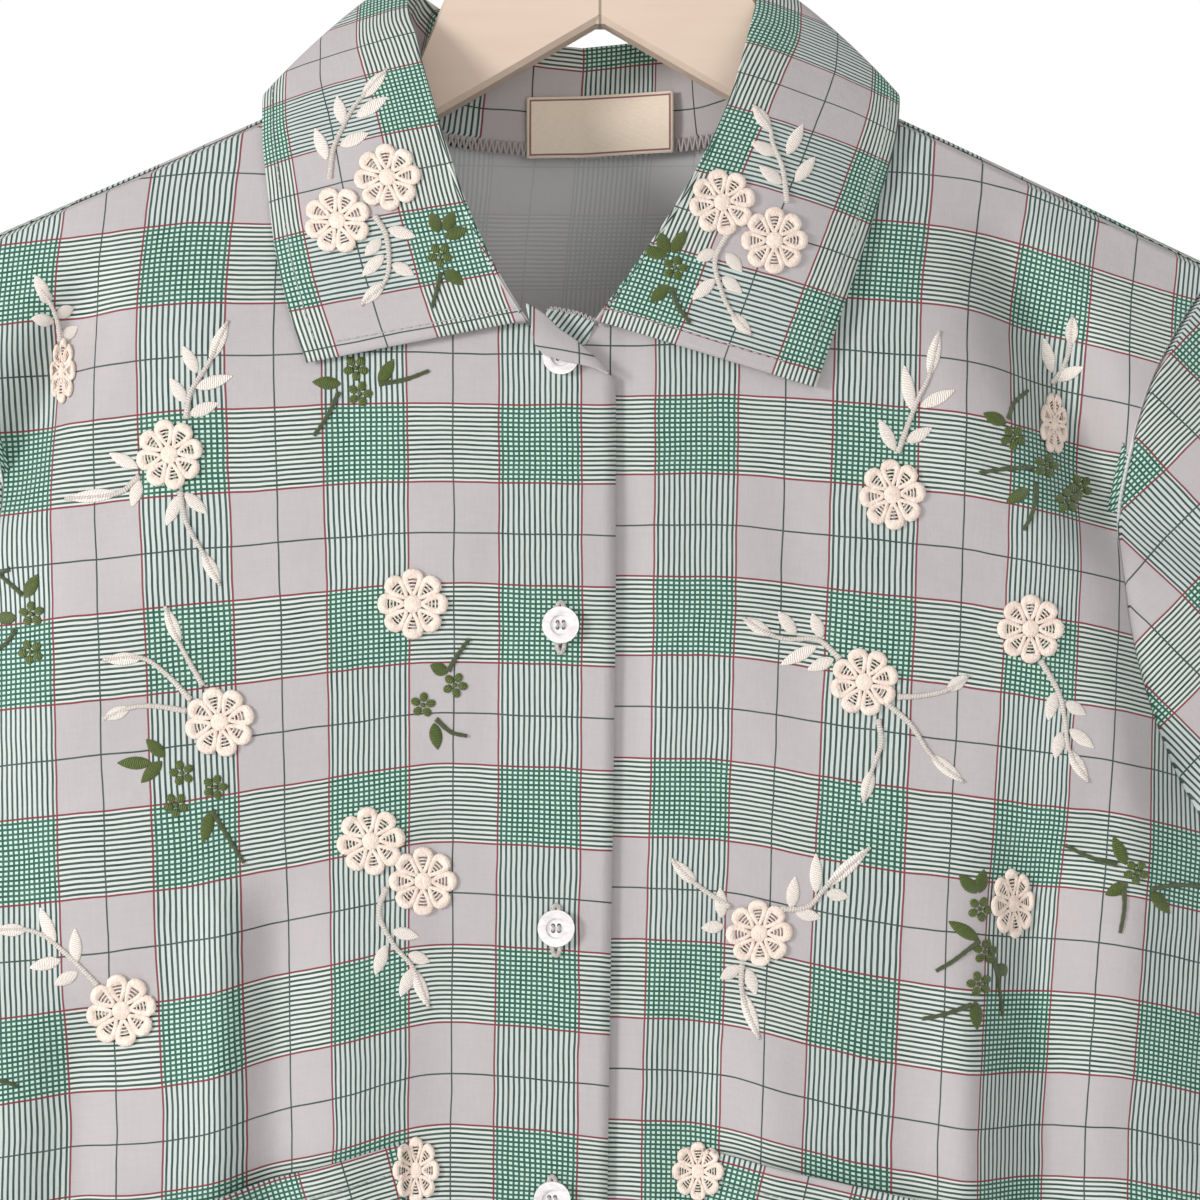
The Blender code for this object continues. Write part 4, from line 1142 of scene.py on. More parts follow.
def check_group():
    """The woven check, from cloth coordinates in metres whose zero is the middle of a band."""
    tree = bpy.data.node_groups.new("woven_check", "ShaderNodeTree")
    tree.interface.new_socket("Cloth", in_out="INPUT", socket_type="NodeSocketVector")
    tree.interface.new_socket("Colour", in_out="OUTPUT", socket_type="NodeSocketColor")
    tree.interface.new_socket("Height", in_out="OUTPUT", socket_type="NodeSocketFloat")
    inside = tree.nodes.new("NodeGroupInput")
    out = tree.nodes.new("NodeGroupOutput")
    where = inside.outputs["Cloth"]
    wobble = noise_node(tree, where, 42.0, 2.0)
    shaken = math_node(tree, "MULTIPLY", math_node(tree, "SUBTRACT", wobble, 0.5), 0.0013)
    split = tree.nodes.new("ShaderNodeSeparateXYZ")
    tree.links.new(where, split.inputs[0])
    across = math_node(tree, "ADD", split.outputs[0], shaken)
    down = math_node(tree, "SUBTRACT", split.outputs[1], shaken)
    band_a, line_a, red_a = check_direction(tree, across, ACROSS)
    band_d, line_d, red_d = check_direction(tree, down, DOWN)
    either = math_node(tree, "MAXIMUM", band_a, band_d)
    both = math_node(tree, "MULTIPLY", band_a, band_d)
    colour = blend_node(tree, either, LAVENDER, MINT_WHITE)
    colour = blend_node(tree, band_a, colour, WARP_WHITE)
    colour = blend_node(tree, both, colour, PALE_MINT)
    # Single threads take the dye unevenly along their length
    slub_a = ramp_node(tree, noise_node(tree, where, 1.0, 3.0, (900, 110, 1)), 0.30, 0.70, 0.88, 1.0)
    slub_d = ramp_node(tree, noise_node(tree, where, 1.0, 3.0, (110, 900, 1)), 0.30, 0.70, 0.88, 1.0)
    green = math_node(
        tree, "MAXIMUM", math_node(tree, "MULTIPLY", line_a, slub_a), math_node(tree, "MULTIPLY", line_d, slub_d)
    )
    thread = blend_node(tree, both, DARK_GREEN, CROSS_GREEN)
    colour = blend_node(tree, green, colour, thread)
    red = math_node(tree, "MULTIPLY", math_node(tree, "MAXIMUM", red_a, red_d), 0.95)
    colour = blend_node(tree, red, colour, MADDER)
    tone = ramp_node(tree, noise_node(tree, where, 14.0, 4.0), 0.3, 0.7, 0.93, 1.04)
    fine = ramp_node(tree, math_node(tree, "MULTIPLY", slub_a, slub_d), 0.77, 1.0, 0.95, 1.02)
    tint = tree.nodes.new("ShaderNodeVectorMath")
    tint.operation = "SCALE"
    tree.links.new(colour, tint.inputs[0])
    tree.links.new(math_node(tree, "MULTIPLY", tone, fine), tint.inputs["Scale"])
    tree.links.new(tint.outputs[0], out.inputs["Colour"])
    crumple = noise_node(tree, where, 130.0, 3.0)
    threads = math_node(
        tree,
        "ADD",
        noise_node(tree, where, 1.0, 1.0, (3600, 240, 1)),
        noise_node(tree, where, 1.0, 1.0, (240, 3600, 1)),
    )
    height = math_node(tree, "ADD", math_node(tree, "MULTIPLY", crumple, 1.0), math_node(tree, "MULTIPLY", threads, 0.18))
    height = math_node(tree, "ADD", height, math_node(tree, "MULTIPLY", green, 0.06))
    tree.links.new(height, out.inputs["Height"])
    return tree


def check_material(name, group, wrong_side=False):
    made, shader = new_material(name, 0.82, sheen=0.12)
    tree = made.node_tree
    use = tree.nodes.new("ShaderNodeGroup")
    use.node_tree = group
    tree.links.new(uv_of(tree), use.inputs[0])
    colour = use.outputs["Colour"]
    if wrong_side:
        colour = blend_node(tree, 0.80, colour, (0.700, 0.690, 0.690))
    tree.links.new(colour, shader.inputs["Base Color"])
    bump_node(tree, use.outputs["Height"], shader, 0.0006, 0.55)
    return made


def lace_material():
    made, shader = new_material("cream_lace", 0.78, sheen=0.25)
    tree = made.node_tree
    where = object_of(tree)
    fluff = noise_node(tree, where, 1400.0, 3.0)
    tone = ramp_node(tree, noise_node(tree, where, 420.0, 3.0), 0.3, 0.7)
    colour = blend_node(tree, tone, (0.820, 0.660, 0.560), (0.950, 0.815, 0.715))
    tree.links.new(colour, shader.inputs["Base Color"])
    bump_node(tree, fluff, shader, 0.0006, 0.9)
    return made


def thread_material(name, low, high, roughness, pitch, slant):
    """Stitches laid side by side across a leaf or wrapped round a stem, their colour with painted shade and highlight:
    the low colour in the grooves between stitches, the high colour on their crests.
    """
    made, shader = new_material(name, roughness, sheen=0.3)
    tree = made.node_tree
    where = uv_of(tree)
    split = tree.nodes.new("ShaderNodeSeparateXYZ")
    tree.links.new(where, split.inputs[0])
    run = math_node(tree, "ADD", split.outputs[1], math_node(tree, "MULTIPLY", split.outputs[0], slant))
    run = math_node(tree, "ADD", run, math_node(tree, "MULTIPLY", noise_node(tree, where, 900.0), pitch))
    turn = math_node(tree, "FRACT", math_node(tree, "DIVIDE", run, pitch))
    stitch_ridge_and_shade = math_node(tree, "SINE", math_node(tree, "MULTIPLY", turn, math.pi))
    # Painted shade and painted highlight: darker towards each stitch's edges, lighter on its crest, under a random tone
    tone = math_node(tree, "MULTIPLY", stitch_ridge_and_shade, ramp_node(tree, noise_node(tree, where, 500.0), 0.3, 0.7, 0.6, 1.0))
    tree.links.new(blend_node(tree, tone, low, high), shader.inputs["Base Color"])
    bump_node(tree, stitch_ridge_and_shade, shader, 0.0003, 0.8)
    return made


def pearl_material():
    made, shader = new_material("pearl_button", 0.22, coat=0.6)
    tree = made.node_tree
    where = object_of(tree)
    cloud = ramp_node(tree, noise_node(tree, where, 260.0, 3.0, (1, 1, 2.5)), 0.3, 0.7)
    colour = blend_node(tree, cloud, (0.720, 0.650, 0.660), (0.900, 0.880, 0.870))
    tree.links.new(colour, shader.inputs["Base Color"])
    tree.links.new(ramp_node(tree, cloud, 0.0, 1.0, 0.18, 0.34), shader.inputs["Roughness"])
    return made


def paint_material():
    made, shader = new_material("cream_paint", 0.5, coat=0.1)
    tree = made.node_tree
    where = object_of(tree)
    grain = noise_node(tree, where, 1.0, 4.0, (26, 200, 200))
    colour = blend_node(tree, ramp_node(tree, grain, 0.35, 0.65), (0.690, 0.535, 0.425), (0.716, 0.560, 0.450))
    split = tree.nodes.new("ShaderNodeSeparateXYZ")
    tree.links.new(where, split.inputs[0])
    joint = ramp_node(tree, math_node(tree, "ABSOLUTE", split.outputs[0]), 0.0002, 0.0007, 0.7, 0.0)
    colour = blend_node(tree, joint, colour, (0.16, 0.10, 0.06))
    tree.links.new(colour, shader.inputs["Base Color"])
    tree.links.new(ramp_node(tree, grain, 0.3, 0.7, 0.40, 0.58), shader.inputs["Roughness"])
    bump_node(tree, grain, shader, 0.0001, 0.3)
    return made


def steel_material():
    made, shader = new_material("hook_steel", 0.25, metallic=1.0)
    tree = made.node_tree
    scratch = noise_node(tree, object_of(tree), 1.0, 3.0, (900, 900, 60))
    colour = blend_node(tree, ramp_node(tree, scratch, 0.3, 0.7), (0.55, 0.55, 0.56), (0.74, 0.74, 0.75))
    tree.links.new(colour, shader.inputs["Base Color"])
    tree.links.new(ramp_node(tree, scratch, 0.3, 0.7, 0.18, 0.36), shader.inputs["Roughness"])
    return made


def ribbon_material():
    """Woven ribbon, bare but for the line of stitches that holds it."""
    made, shader = new_material("label_ribbon", 0.6, sheen=0.4)
    tree = made.node_tree
    where = uv_of(tree)
    split = tree.nodes.new("ShaderNodeSeparateXYZ")
    tree.links.new(where, split.inputs[0])
    from_side = math_node(tree, "SUBTRACT", LABEL_WIDTH / 2, math_node(tree, "ABSOLUTE", split.outputs[0]))
    from_edge = math_node(tree, "SUBTRACT", LABEL_HEIGHT / 2, math_node(tree, "ABSOLUTE", split.outputs[1]))
    inset = math_node(tree, "MINIMUM", from_side, from_edge)
    off_border = math_node(tree, "ABSOLUTE", math_node(tree, "SUBTRACT", inset, 0.0012))
    border = ramp_node(tree, off_border, 0.00022, 0.00040, 0.9, 0.0)
    rib = math_node(tree, "SINE", math_node(tree, "MULTIPLY", split.outputs[1], 2 * math.pi / 0.0004))
    weave = noise_node(tree, where, 1.0, 2.0, (500, 3000, 1))
    colour = blend_node(tree, ramp_node(tree, weave, 0.3, 0.7), (0.880, 0.735, 0.585), (0.950, 0.815, 0.660))
    colour = blend_node(tree, border, colour, (0.200, 0.035, 0.045))
    tree.links.new(colour, shader.inputs["Base Color"])
    bump_node(tree, math_node(tree, "ADD", rib, weave), shader, 0.0001, 0.5)
    return made


def floor_material():
    made, shader = new_material("pale_floor", 0.9)
    tree = made.node_tree
    tone = ramp_node(tree, noise_node(tree, object_of(tree), 3.0, 3.0), 0.3, 0.7)
    tree.links.new(blend_node(tree, tone, (0.80, 0.80, 0.80), (0.84, 0.84, 0.84)), shader.inputs["Base Color"])
    return made


# ---- Cloth panels

CHECK = check_group()
check_look = check_material("checked_cotton", CHECK)
wrong_look = check_material("checked_cotton_inside", CHECK, wrong_side=True)
lace_look = lace_material()
# Thread finishes: the low colour is painted shade in the grooves between stitches, the high colour a painted highlight
# on their crests
satin_look = thread_material("cream_satin_stitch", (0.870, 0.765, 0.680), (0.980, 0.905, 0.835), 0.6, 0.00050, 0.25)
wrap_look = thread_material("cream_wrapped_stem", (0.790, 0.690, 0.615), (0.970, 0.895, 0.825), 0.6, 0.00085, 0.0008)
olive_look = thread_material("olive_satin_stitch", (0.018, 0.036, 0.002), (0.125, 0.175, 0.011), 0.5, 0.00055, 0.25)
sewing_look = thread_material("sewing_thread", (0.500, 0.520, 0.520), (0.800, 0.800, 0.800), 0.6, 0.00040, 0.0003)
overlock_look = thread_material("overlock_thread", (0.560, 0.480, 0.480), (0.860, 0.780, 0.770), 0.65, 0.0005, 0.0003)
pearl_look = pearl_material()
ribbon_look = ribbon_material()


def lie_of(rows, u, z):
    """How far the check's lines are moved, between a table's two heights and a little beyond them."""
    found = read(rows, u)
    share = np.clip((LIE_HIGH_Z - z) / (LIE_HIGH_Z - LIE_LOW_Z), -0.4, 1.3)
    return mix(found[..., 0], found[..., 1], share)


def front_cloth_uv(side, u, z):
    across = u + lie_of(SPREAD[side], u, z) - BAND_U[side]
    return pair(SIDES[side] * across, z + lie_of(DROOP[side], u, z) - BAND_Z)


def flank_spare(points, u):
    """How much longer the cloth is than its front view where it turns to the side."""
    du, dy = np.diff(u, axis=1), np.diff(points[..., 1], axis=1)
    steps = (np.hypot(du, dy) - np.abs(du)) * smooth((u[:, 1:] - FLANK_U) / FLANK_EASE)
    return np.concatenate([0 * u[:, :1], np.cumsum(steps, axis=1)], axis=1)


def even(count, start=0.0, end=1.0):
    return np.linspace(start, end, count + 1)


def front_columns():
    lap = NECK_SHARE * LAP_SHARE
    parts = (even(6, 0.0, lap)[:-1], even(46, lap, NECK_SHARE)[:-1], even(84, NECK_SHARE, 0.98)[:-1])
    return np.concatenate([*parts, even(6, 0.98, 1.0)])


def front_rows():
    return np.concatenate([even(96, 0.0, 1.0)[:-1] ** 1.25 * 0.5, even(96, 0.5, 1.0)])



def run_lengths(points, axis):
    """Distances along the cloth from the first row or column of a grid."""
    steps = np.linalg.norm(np.diff(points, axis=axis), axis=-1)
    start = np.zeros_like(np.take(steps, [0], axis=axis))
    return np.cumsum(np.concatenate([start, steps], axis=axis), axis=axis)


def with_allowance(points, uv, reach, count):
    """Rows before a grid's first row, turned in to the points that a seam's allowance reaches."""
    share = np.linspace(1.0, 0.0, count + 1)[:-1, None, None]
    rows = points[0] + (reach - points[0]) * share
    hidden = uv[0] + np.array((0.0, 1.0)) * (np.linalg.norm(reach - points[0], axis=-1)[..., None] * share)
    return np.concatenate([rows, points]), np.concatenate([hidden, uv])


def shoulder_reach(side, s):
    """Where the front's top edge turns in: to the back's edge on the shoulder, inwards round the neck."""
    uz = front_uz(side, s, 0 * s)
    edge = front_points(side, s, 0 * s)[0]
    on_seam = back_surface(side, uz[..., 0], shoulder_z(uz[..., 0])) + np.array((0, -0.0003, -0.0005))
    return mix(edge + np.array((0, 0.0016, -0.0008)), on_seam, smooth((s - NECK_SHARE + 0.01) / 0.02)[..., None])


def with_side_allowance(side, points, uv):
    """Columns past a front's side edge that turn in behind the back's edge, below the arm alone."""
    edge, edge_uv = points[:, -1:], uv[:, -1:]
    underarm_z = sleeve_points(side, np.array(0.5), np.array(0.0))[2]
    grown = (0.08 + 0.92 * smooth((underarm_z - edge[..., 2]) / 0.02))[..., None]
    columns, columns_uv = [points], [uv]
    for inwards, backwards in SIDE_ALLOWANCE:
        columns.append(edge + np.array((-SIDES[side] * inwards, backwards, 0)) * grown)
        columns_uv.append(edge_uv + np.array((SIDES[side] * backwards, 0)) * grown)
    return np.concatenate(columns, axis=1), np.concatenate(columns_uv, axis=1)


panels = {}
grounds = {}
for side in SIDES:
    s, t = np.meshgrid(front_columns(), front_rows())
    points, u, z = front_points(side, s, t)
    name = "front_" + side
    grounds[name] = ground_of((points, (0, -1, 0)))
    uv = front_cloth_uv(side, u, z) + pair(SIDES[side] * flank_spare(points, u), 0.0)
    points, uv = with_allowance(points, uv, shoulder_reach(side, s[0]), 4)
    points, uv = with_side_allowance(side, points, uv)
    panels[name] = cloth(
        "cloth_" + name,
        points,
        uv,
        (check_look, wrong_look),
        facing=(0, -1, 0),
    )

# The back turns over the hanger to the shoulder seams
half = np.concatenate([even(34, 0.0, NECK_SHARE)[:-1], even(50, NECK_SHARE, 0.98)[:-1], even(5, 0.98, 1.0)])
rows = np.concatenate([even(26, 0.0, 0.05)[:-1], even(50, 0.05, 0.40)[:-1], even(84, 0.40, 1.0)])
halves, halves_uv = {}, {}
for side in SIDES:
    s, t = np.meshgrid(half, rows)
    points, u, z = back_points(side, s, t)
    halves[side] = points
    halves_uv[side] = pair(SIDES[side] * (u + flank_spare(points, u)) - BACK_BAND_X, z - BACK_BAND_Z)
back_grid = np.concatenate([halves["left"][:, :0:-1], halves["right"]], axis=1)
back_uv = np.concatenate([halves_uv["left"][:, :0:-1], halves_uv["right"]], axis=1)
panels["back"] = cloth("cloth_back", back_grid, back_uv, (check_look, wrong_look), facing=(0, 1, 0))

SLEEVE_CREASES = (
    # share, width in share, start and end along, height
    (0.20, 0.030, 0.05, 0.75, 0.0030),
    (0.30, 0.026, 0.00, 0.55, -0.0030),
    (0.40, 0.030, 0.20, 1.00, 0.0025),
    (0.70, 0.030, 0.05, 0.70, -0.0030),
    (0.82, 0.028, 0.15, 0.95, 0.0028),
)
SLEEVE_BAND = {"left": 0.0135, "right": 0.0200}
SLEEVE_BAND_ALONG = {"left": 0.0120, "right": 0.0190}
ARMHOLE_ALLOWANCE = 0.0045
for side in SIDES:
    # Once round from under the arm, the back half first
    turn, along = np.meshgrid(even(112, 0.5, 1.5), even(70))
    share = turn % 1.0
    points = sleeve_points(side, share, along)
    normal = unit(np.cross(np.gradient(points, axis=1), np.gradient(points, axis=0)) + 1e-12)
    centre = points.mean(axis=1, keepdims=True)
    normal *= np.sign(np.sum(normal * (points - centre), axis=-1, keepdims=True))
    for at, width, start, end, height in SLEEVE_CREASES:
        window = smooth((along - start) / 0.25) * smooth((end + 0.05 - along) / 0.25)
        swell = height * np.exp(-(((share - at - 0.04 * along) / width) ** 2)) * window
        points = points + normal * (swell * smooth(along / 0.2))[..., None]
    # The threads run along the sleeve and square to it
    axis = np.array((SIDES[side] * math.cos(SLEEVE_ANGLE), 0, -math.sin(SLEEVE_ANGLE)))
    square = np.array((-SIDES[side] * math.sin(SLEEVE_ANGLE), 0, -math.cos(SLEEVE_ANGLE)))
    from_tip = points - sleeve_points(side, np.array(0.0), np.array(0.0))
    below = from_tip @ square
    steps = np.hypot(np.diff(below, axis=1), np.diff(points[..., 1], axis=1)) - np.abs(np.diff(below, axis=1))
    steps *= 1 - smooth((below[:, 1:] - 0.006) / 0.012)
    spare = np.concatenate([0 * below[:, :1], np.cumsum(steps, axis=1)], axis=1)
    top = below.shape[1] // 2
    below = np.where(turn < 1.0, 2 * below[:, top : top + 1] - below, below) + spare - spare[:, -1:]
    uv = pair(below - SLEEVE_BAND[side], SLEEVE_BAND_ALONG[side] - from_tip @ axis)
    inward = np.stack([0 * turn[0] - SIDES[side] * ARMHOLE_ALLOWANCE, np.sign(-points[0, :, 1]) * 0.0018, 0 * turn[0]], -1)
    inward[:, 2] = -0.0020 * (0.5 + 0.5 * np.cos(2 * math.pi * turn[0]))
    points, uv = with_allowance(points, uv, points[0] + inward, 3)
    panels["sleeve_" + side] = cloth(
        "cloth_sleeve_" + side,
        points,
        uv,
        (check_look, wrong_look),
        around=tuple(points.reshape(-1, 3).mean(axis=0)),
        ring=True,
    )


across_rows = np.concatenate([even(26, 0.0, STAND_SHARE)[:-1], STAND_SHARE + (1 - STAND_SHARE) * even(44) ** 1.15])
collar_half, collar_uv = {}, {}
for side in SIDES:
    share, across = np.meshgrid(even(100), across_rows)
    points = collar_points(side, share, across)
    # A soft unevenness of the folded-over leaf
    ripple = 0.0007 * np.sin(share * 19 + across * 5) * smooth((across - 0.45) / 0.3) * smooth(share / 0.1)
    points[..., 1] -= ripple * np.where(share < 0.55, 1.0, 0.0)
    from_edge = run_lengths(points[::-1], 0)[::-1]
    from_front = run_lengths(points, 1)
    fall = from_edge[across_rows >= STAND_SHARE][:1]
    level_fall = mix(fall, fall[:, -1:] - STAND_CHECK_DROP, smooth((share[:1] - 0.55) / 0.15))
    from_edge = np.where(across >= STAND_SHARE, from_edge * level_fall / fall, from_edge - fall + level_fall)
    within = 1 - smooth((across / STAND_SHARE - 0.6) / 0.4)
    behind = smooth((share - 0.62) / 0.14)
    from_edge = from_edge - STAND_LEVEL * within * behind * smooth((np.abs(points[..., 0] - COLLAR_SHIFT) - 0.018) / 0.026)
    drift = COLLAR_BACK_SHIFT[side] * smooth((share - 0.30) / 0.55)
    along = from_front - COLLAR_BAND[side] + drift
    sign = SIDES[side] * (1 - share)
    if side == "left":
        along = along - from_front[:, -1:] * smooth((share - 0.5) / 0.5) + 0.220 * smooth((share - 0.5) / 0.5)
    else:
        along = along - from_front[:, -1:] * smooth((share - 0.5) / 0.5) + 0.225 * smooth((share - 0.5) / 0.5)
        along = 8 * ACROSS.repeat - along
    collar_half[side] = points
    from_middle = along[:, -1:] - along
    along = along + from_middle * STAND_SPREAD[side] * within * behind
    collar_uv[side] = pair(along, from_edge - COLLAR_EDGE_BAND * sign)
collar_grid = np.concatenate([collar_half["left"], collar_half["right"][:, -2::-1]], axis=1)
collar_uv = np.concatenate([collar_uv["left"], collar_uv["right"][:, -2::-1]], axis=1)
leaf_rows = across_rows >= STAND_SHARE
grounds["collar"] = ground_of((collar_grid[leaf_rows], (0, -1, 0.2)))
tucks = [collar_frame(side, even(100))[4] for side in SIDES]
collar_sheet, collar_uv = with_allowance(collar_grid, collar_uv, np.concatenate([tucks[0], tucks[1][-2::-1]]), 3)
panels["collar"] = cloth(
    "cloth_collar",
    collar_sheet,
    collar_uv,
    (check_look,),
    around=(COLLAR_SHIFT, 0, -0.25),
    wall=COLLAR_CLOTH,
)

# Pockets hang on the fronts and stand open a little at the top
cad_columns = np.concatenate([NECK_SHARE * even(8)[:-1], mix(NECK_SHARE, 1.0, even(13))[:-1], [0.99, 1.0]])
POCKET_BAND = {"left": 0.0474, "right": 0.0069}
POCKET_BAND_BELOW = 0.0138
POCKET_HEM = 0.009
pocket_grids = {}
for side in SIDES:
    pocket = POCKETS[side]
    middle_u = front_uz(side, cad_columns, np.full(len(cad_columns), 0.5))[..., 0]
    first = int(np.argmin(np.abs(middle_u - pocket.inner_u)))
    s, t = np.meshgrid(even(72, cad_columns[first], cad_columns[first + 11]), even(66) ** 1.2)
    share = (front_uz(side, s, 0.5 + 0 * s)[..., 0] - pocket.inner_u) / POCKET_WIDTH
    z = mix(mix(pocket.inner_z, pocket.outer_z, share), pocket.inner_z - POCKET_HEIGHT, t)
    top_z = front_uz(side, s, 0 * s)[..., 1]
    down = (top_z - z) / (top_z - HEM_Z)
    for _ in range(12):
        down += (front_uz(side, s, down)[..., 1] - z) / (top_z - HEM_Z)
    u = front_uz(side, s, down)[..., 0]
    across = (s - s[0, 0]) / (s[0, -1] - s[0, 0])
    gape = POCKET_GAPE * np.sin(math.pi * across) * (1 - t) ** 4
    y = front_y(side, u, z) - POCKET_LIFT - 0.0008 - gape
    points = point_of(SIDES[side] * u + centre_x(z), y, z)
    slope = np.array((POCKET_WIDTH, pocket.outer_z - pocket.inner_z))
    slope = slope / np.linalg.norm(slope)
    from_corner = pair(u - u[0, 0], z - pocket.inner_z)
    along = from_corner @ slope
    below = -(from_corner @ np.array((-slope[1], slope[0])))
    points[..., 1] -= 0.0004 * smooth((POCKET_HEM - below) / 0.0008) * smooth(below / 0.0006)
    pocket_grids[side] = points
    uv = pair(SIDES[side] * (along - POCKET_BAND[side]), POCKET_BAND_BELOW - below)
    panels["pocket_" + side] = cloth(
        "cloth_pocket_" + side, points, uv, (check_look, wrong_look), facing=(0, -1, 0)
    )
    s, t = np.meshgrid(front_columns(), front_rows())
    grounds["pocket_" + side] = ground_of((points, (0, -1, 0)), (front_points(side, s, t)[0], (0, -1, 0)))

# The label, on the inside of the collar over the neck seam
s, t = np.meshgrid(even(40), even(18))
x = (s - 0.5) * LABEL_WIDTH
z = LABEL_TOP_Z - t * LABEL_HEIGHT + x * LABEL_TILT
share = 1 - np.abs(x - COLLAR_SHIFT) / NECK_HALF_WIDTH * LABEL_NECK_SHARE
frames = {side: collar_frame(side, share)[:2] for side in SIDES}
on_right = (x > COLLAR_SHIFT)[..., None]
seam = np.where(on_right, frames["right"][0], frames["left"][0])
roll = np.where(on_right, frames["right"][1], frames["left"][1])
y = mix(seam[..., 1], roll[..., 1], smooth((z - seam[..., 2]) / (roll[..., 2] - seam[..., 2])))
y = y - LABEL_CLEAR - 0.0004 - 0.0004 * np.sin(s * 9.0 + 0.6) * t
label = cloth(
    "woven_label",
    point_of(x, y, z),
    pair(x, (0.5 - t) * LABEL_HEIGHT),
    (ribbon_look,),
    facing=(0, -1, 0),
)

# ---- Lace and satin stitch

LACE_RADIUS = 0.0112
FLAT_UP = (0.0, 0.0, 1.0)
Rim = namedtuple("Rim", "out aside radius")
PETAL_RIM = (
    Rim(0.0026, 0.0, 0.00060),
    Rim(0.0044, 0.00105, 0.00070),
    Rim(0.0062, 0.00185, 0.00082),
    Rim(0.0079, 0.00235, 0.00100),
    Rim(0.0091, 0.00175, 0.00135),
    Rim(0.0095, 0.0, 0.00160),
    Rim(0.0091, -0.00175, 0.00135),
    Rim(0.0079, -0.00235, 0.00100),
    Rim(0.0062, -0.00185, 0.00082),
    Rim(0.0044, -0.00105, 0.00070),
    Rim(0.0026, 0.0, 0.00060),
)
RUNGS = ((0.0047, 0.0013), (0.0058, 0.0018), (0.0069, 0.0023), (0.0079, 0.0024))
PETALS = 8


def ball(name, size, segments, rings):
    bpy.ops.object.select_all(action="DESELECT")
    bpy.ops.mesh.primitive_uv_sphere_add(segments=segments, ring_count=rings, radius=1.0)
    made = bpy.context.active_object
    made.name = name
    bpy.ops.object.mode_set(mode="EDIT")
    bpy.ops.mesh.select_all(action="SELECT")
    bpy.ops.transform.resize(value=size)
    bpy.ops.object.mode_set(mode="OBJECT")
    return made


def turned(points, angle):
    cos, sin = math.cos(angle), math.sin(angle)
    points = np.asarray(points, dtype=float)
    return np.stack([points[:, 0] * cos - points[:, 1] * sin, points[:, 0] * sin + points[:, 1] * cos, points[:, 2]], 1)


def lace_flower_pattern():
    """One flower, flat: eight padded rims with threads across their hollows, round a solid centre."""
    rows = [(rim.out, rim.aside, 0.0, rim.radius) for rim in PETAL_RIM]
    loop = run_through(rows, 0.0010)
    tubes = []
    for petal in range(PETALS):
        angle = 2 * math.pi * petal / PETALS
        tubes.append(tube(turned(loop[:, :3], angle), loop[:, 3], 8, FLAT_UP, 0.55))
        for out, reach in RUNGS:
            rung = [(out, -reach, -0.0001), (out + 0.0002, 0.0, 0.0002), (out, reach, -0.0001)]
            tubes.append(tube(turned(rung, angle), 0.00026, 5, FLAT_UP))
    petals = thread_piece("lace_flower_pattern", tubes, lace_look)
    centre = ball("lace_centre", (0.0029, 0.0029, 0.0009), 20, 10)
    centre.data.materials.append(lace_look)
    centre.data.shade_smooth()
    return join("lace_flower_pattern", [petals, centre])


def satin_leaf_pattern():
    """A padded leaf one unit long, pointed at both ends, and two units wide."""
    made = ball("satin_leaf_pattern", (1, 1, 1), 12, 12)
    flat = np.array([vertex.co[:] for vertex in made.data.vertices])
    reach = flat[:, 2]
    width = np.maximum(1 - reach**2, 0.0) ** 0.45
    for vertex, at, wide in zip(made.data.vertices, flat, width):
        vertex.co = (0.5 + 0.5 * at[2], at[0] * wide, at[1] * wide * 0.00055)
    lay_stitches(made, 0.0095, 0.0022)
    return made


def lay_stitches(made, length, half_width):
    """Thread coordinates: across first, then along."""
    mesh = made.data
    bpy.ops.object.select_all(action="DESELECT")
    while mesh.uv_layers:
        mesh.uv_layers.remove(mesh.uv_layers[0])
    layer = mesh.uv_layers.new(name="cloth")
    for loop in mesh.loops:
        at = mesh.vertices[loop.vertex_index].co
        layer.data[loop.index].uv = (at.y * half_width, at.x * length)
    mesh.shade_smooth()


def bud_pattern():
    """Five short petals round a dot, one unit in radius."""
    petals = []
    for petal in range(5):
        made = ball("bud_petal", (0.31, 0.33, 0.00060), 10, 7)
        angle = math.radians(90) + 2 * math.pi * petal / 5
        for vertex in made.data.vertices:
            a, b = vertex.co.x * 1.25 + 0.62, vertex.co.y
            vertex.co = (a * math.cos(angle) - b * math.sin(angle), a * math.sin(angle) + b * math.cos(angle), vertex.co.z)
        lay_stitches(made, 0.0035, 0.0035)
        petals.append(made)
    dot = ball("bud_dot", (0.20, 0.20, 0.00065), 8, 6)
    lay_stitches(dot, 0.0035, 0.0035)
    return join("bud_pattern", petals + [dot])


def lay_flower(pattern, flower):
    turn = math.radians(flower.turn)
    cos, sin = math.cos(turn), math.sin(turn)

    def to_view(a, b):
        right, up = (a * cos - b * sin) / LACE_RADIUS, (a * sin + b * cos) / LACE_RADIUS
        return flower.x + right * flower.half_width, flower.y - up * flower.half_height

    made = laid("lace_flower_" + flower.name, pattern, grounds[flower.carrier], to_view, 0.0008)
    made.data.shade_smooth()
    return made


LEAF_HALF_WIDTH = 6.6
BUD_RADIUS = 13.0


def lay_leaf(pattern, leaf, ground):
    run = np.array((leaf.tip_x - leaf.base_x, leaf.tip_y - leaf.base_y), dtype=float)
    aside = np.array((-run[1], run[0])) / np.linalg.norm(run) * LEAF_HALF_WIDTH

    def to_view(a, b):
        # The broadest place lies nearer the base than the tip
        a = a**1.15
        return leaf.base_x + run[0] * a + aside[0] * b, leaf.base_y + run[1] * a + aside[1] * b

    return laid("leaf", pattern, ground, to_view, 0.00015)


def lay_bud(pattern, bud, ground, turn):
    cos, sin = math.cos(turn), math.sin(turn)

    def to_view(a, b):
        return bud.x + (a * cos - b * sin) * BUD_RADIUS, bud.y + (a * sin + b * cos) * BUD_RADIUS

    return laid("bud", pattern, ground, to_view, 0.0002)


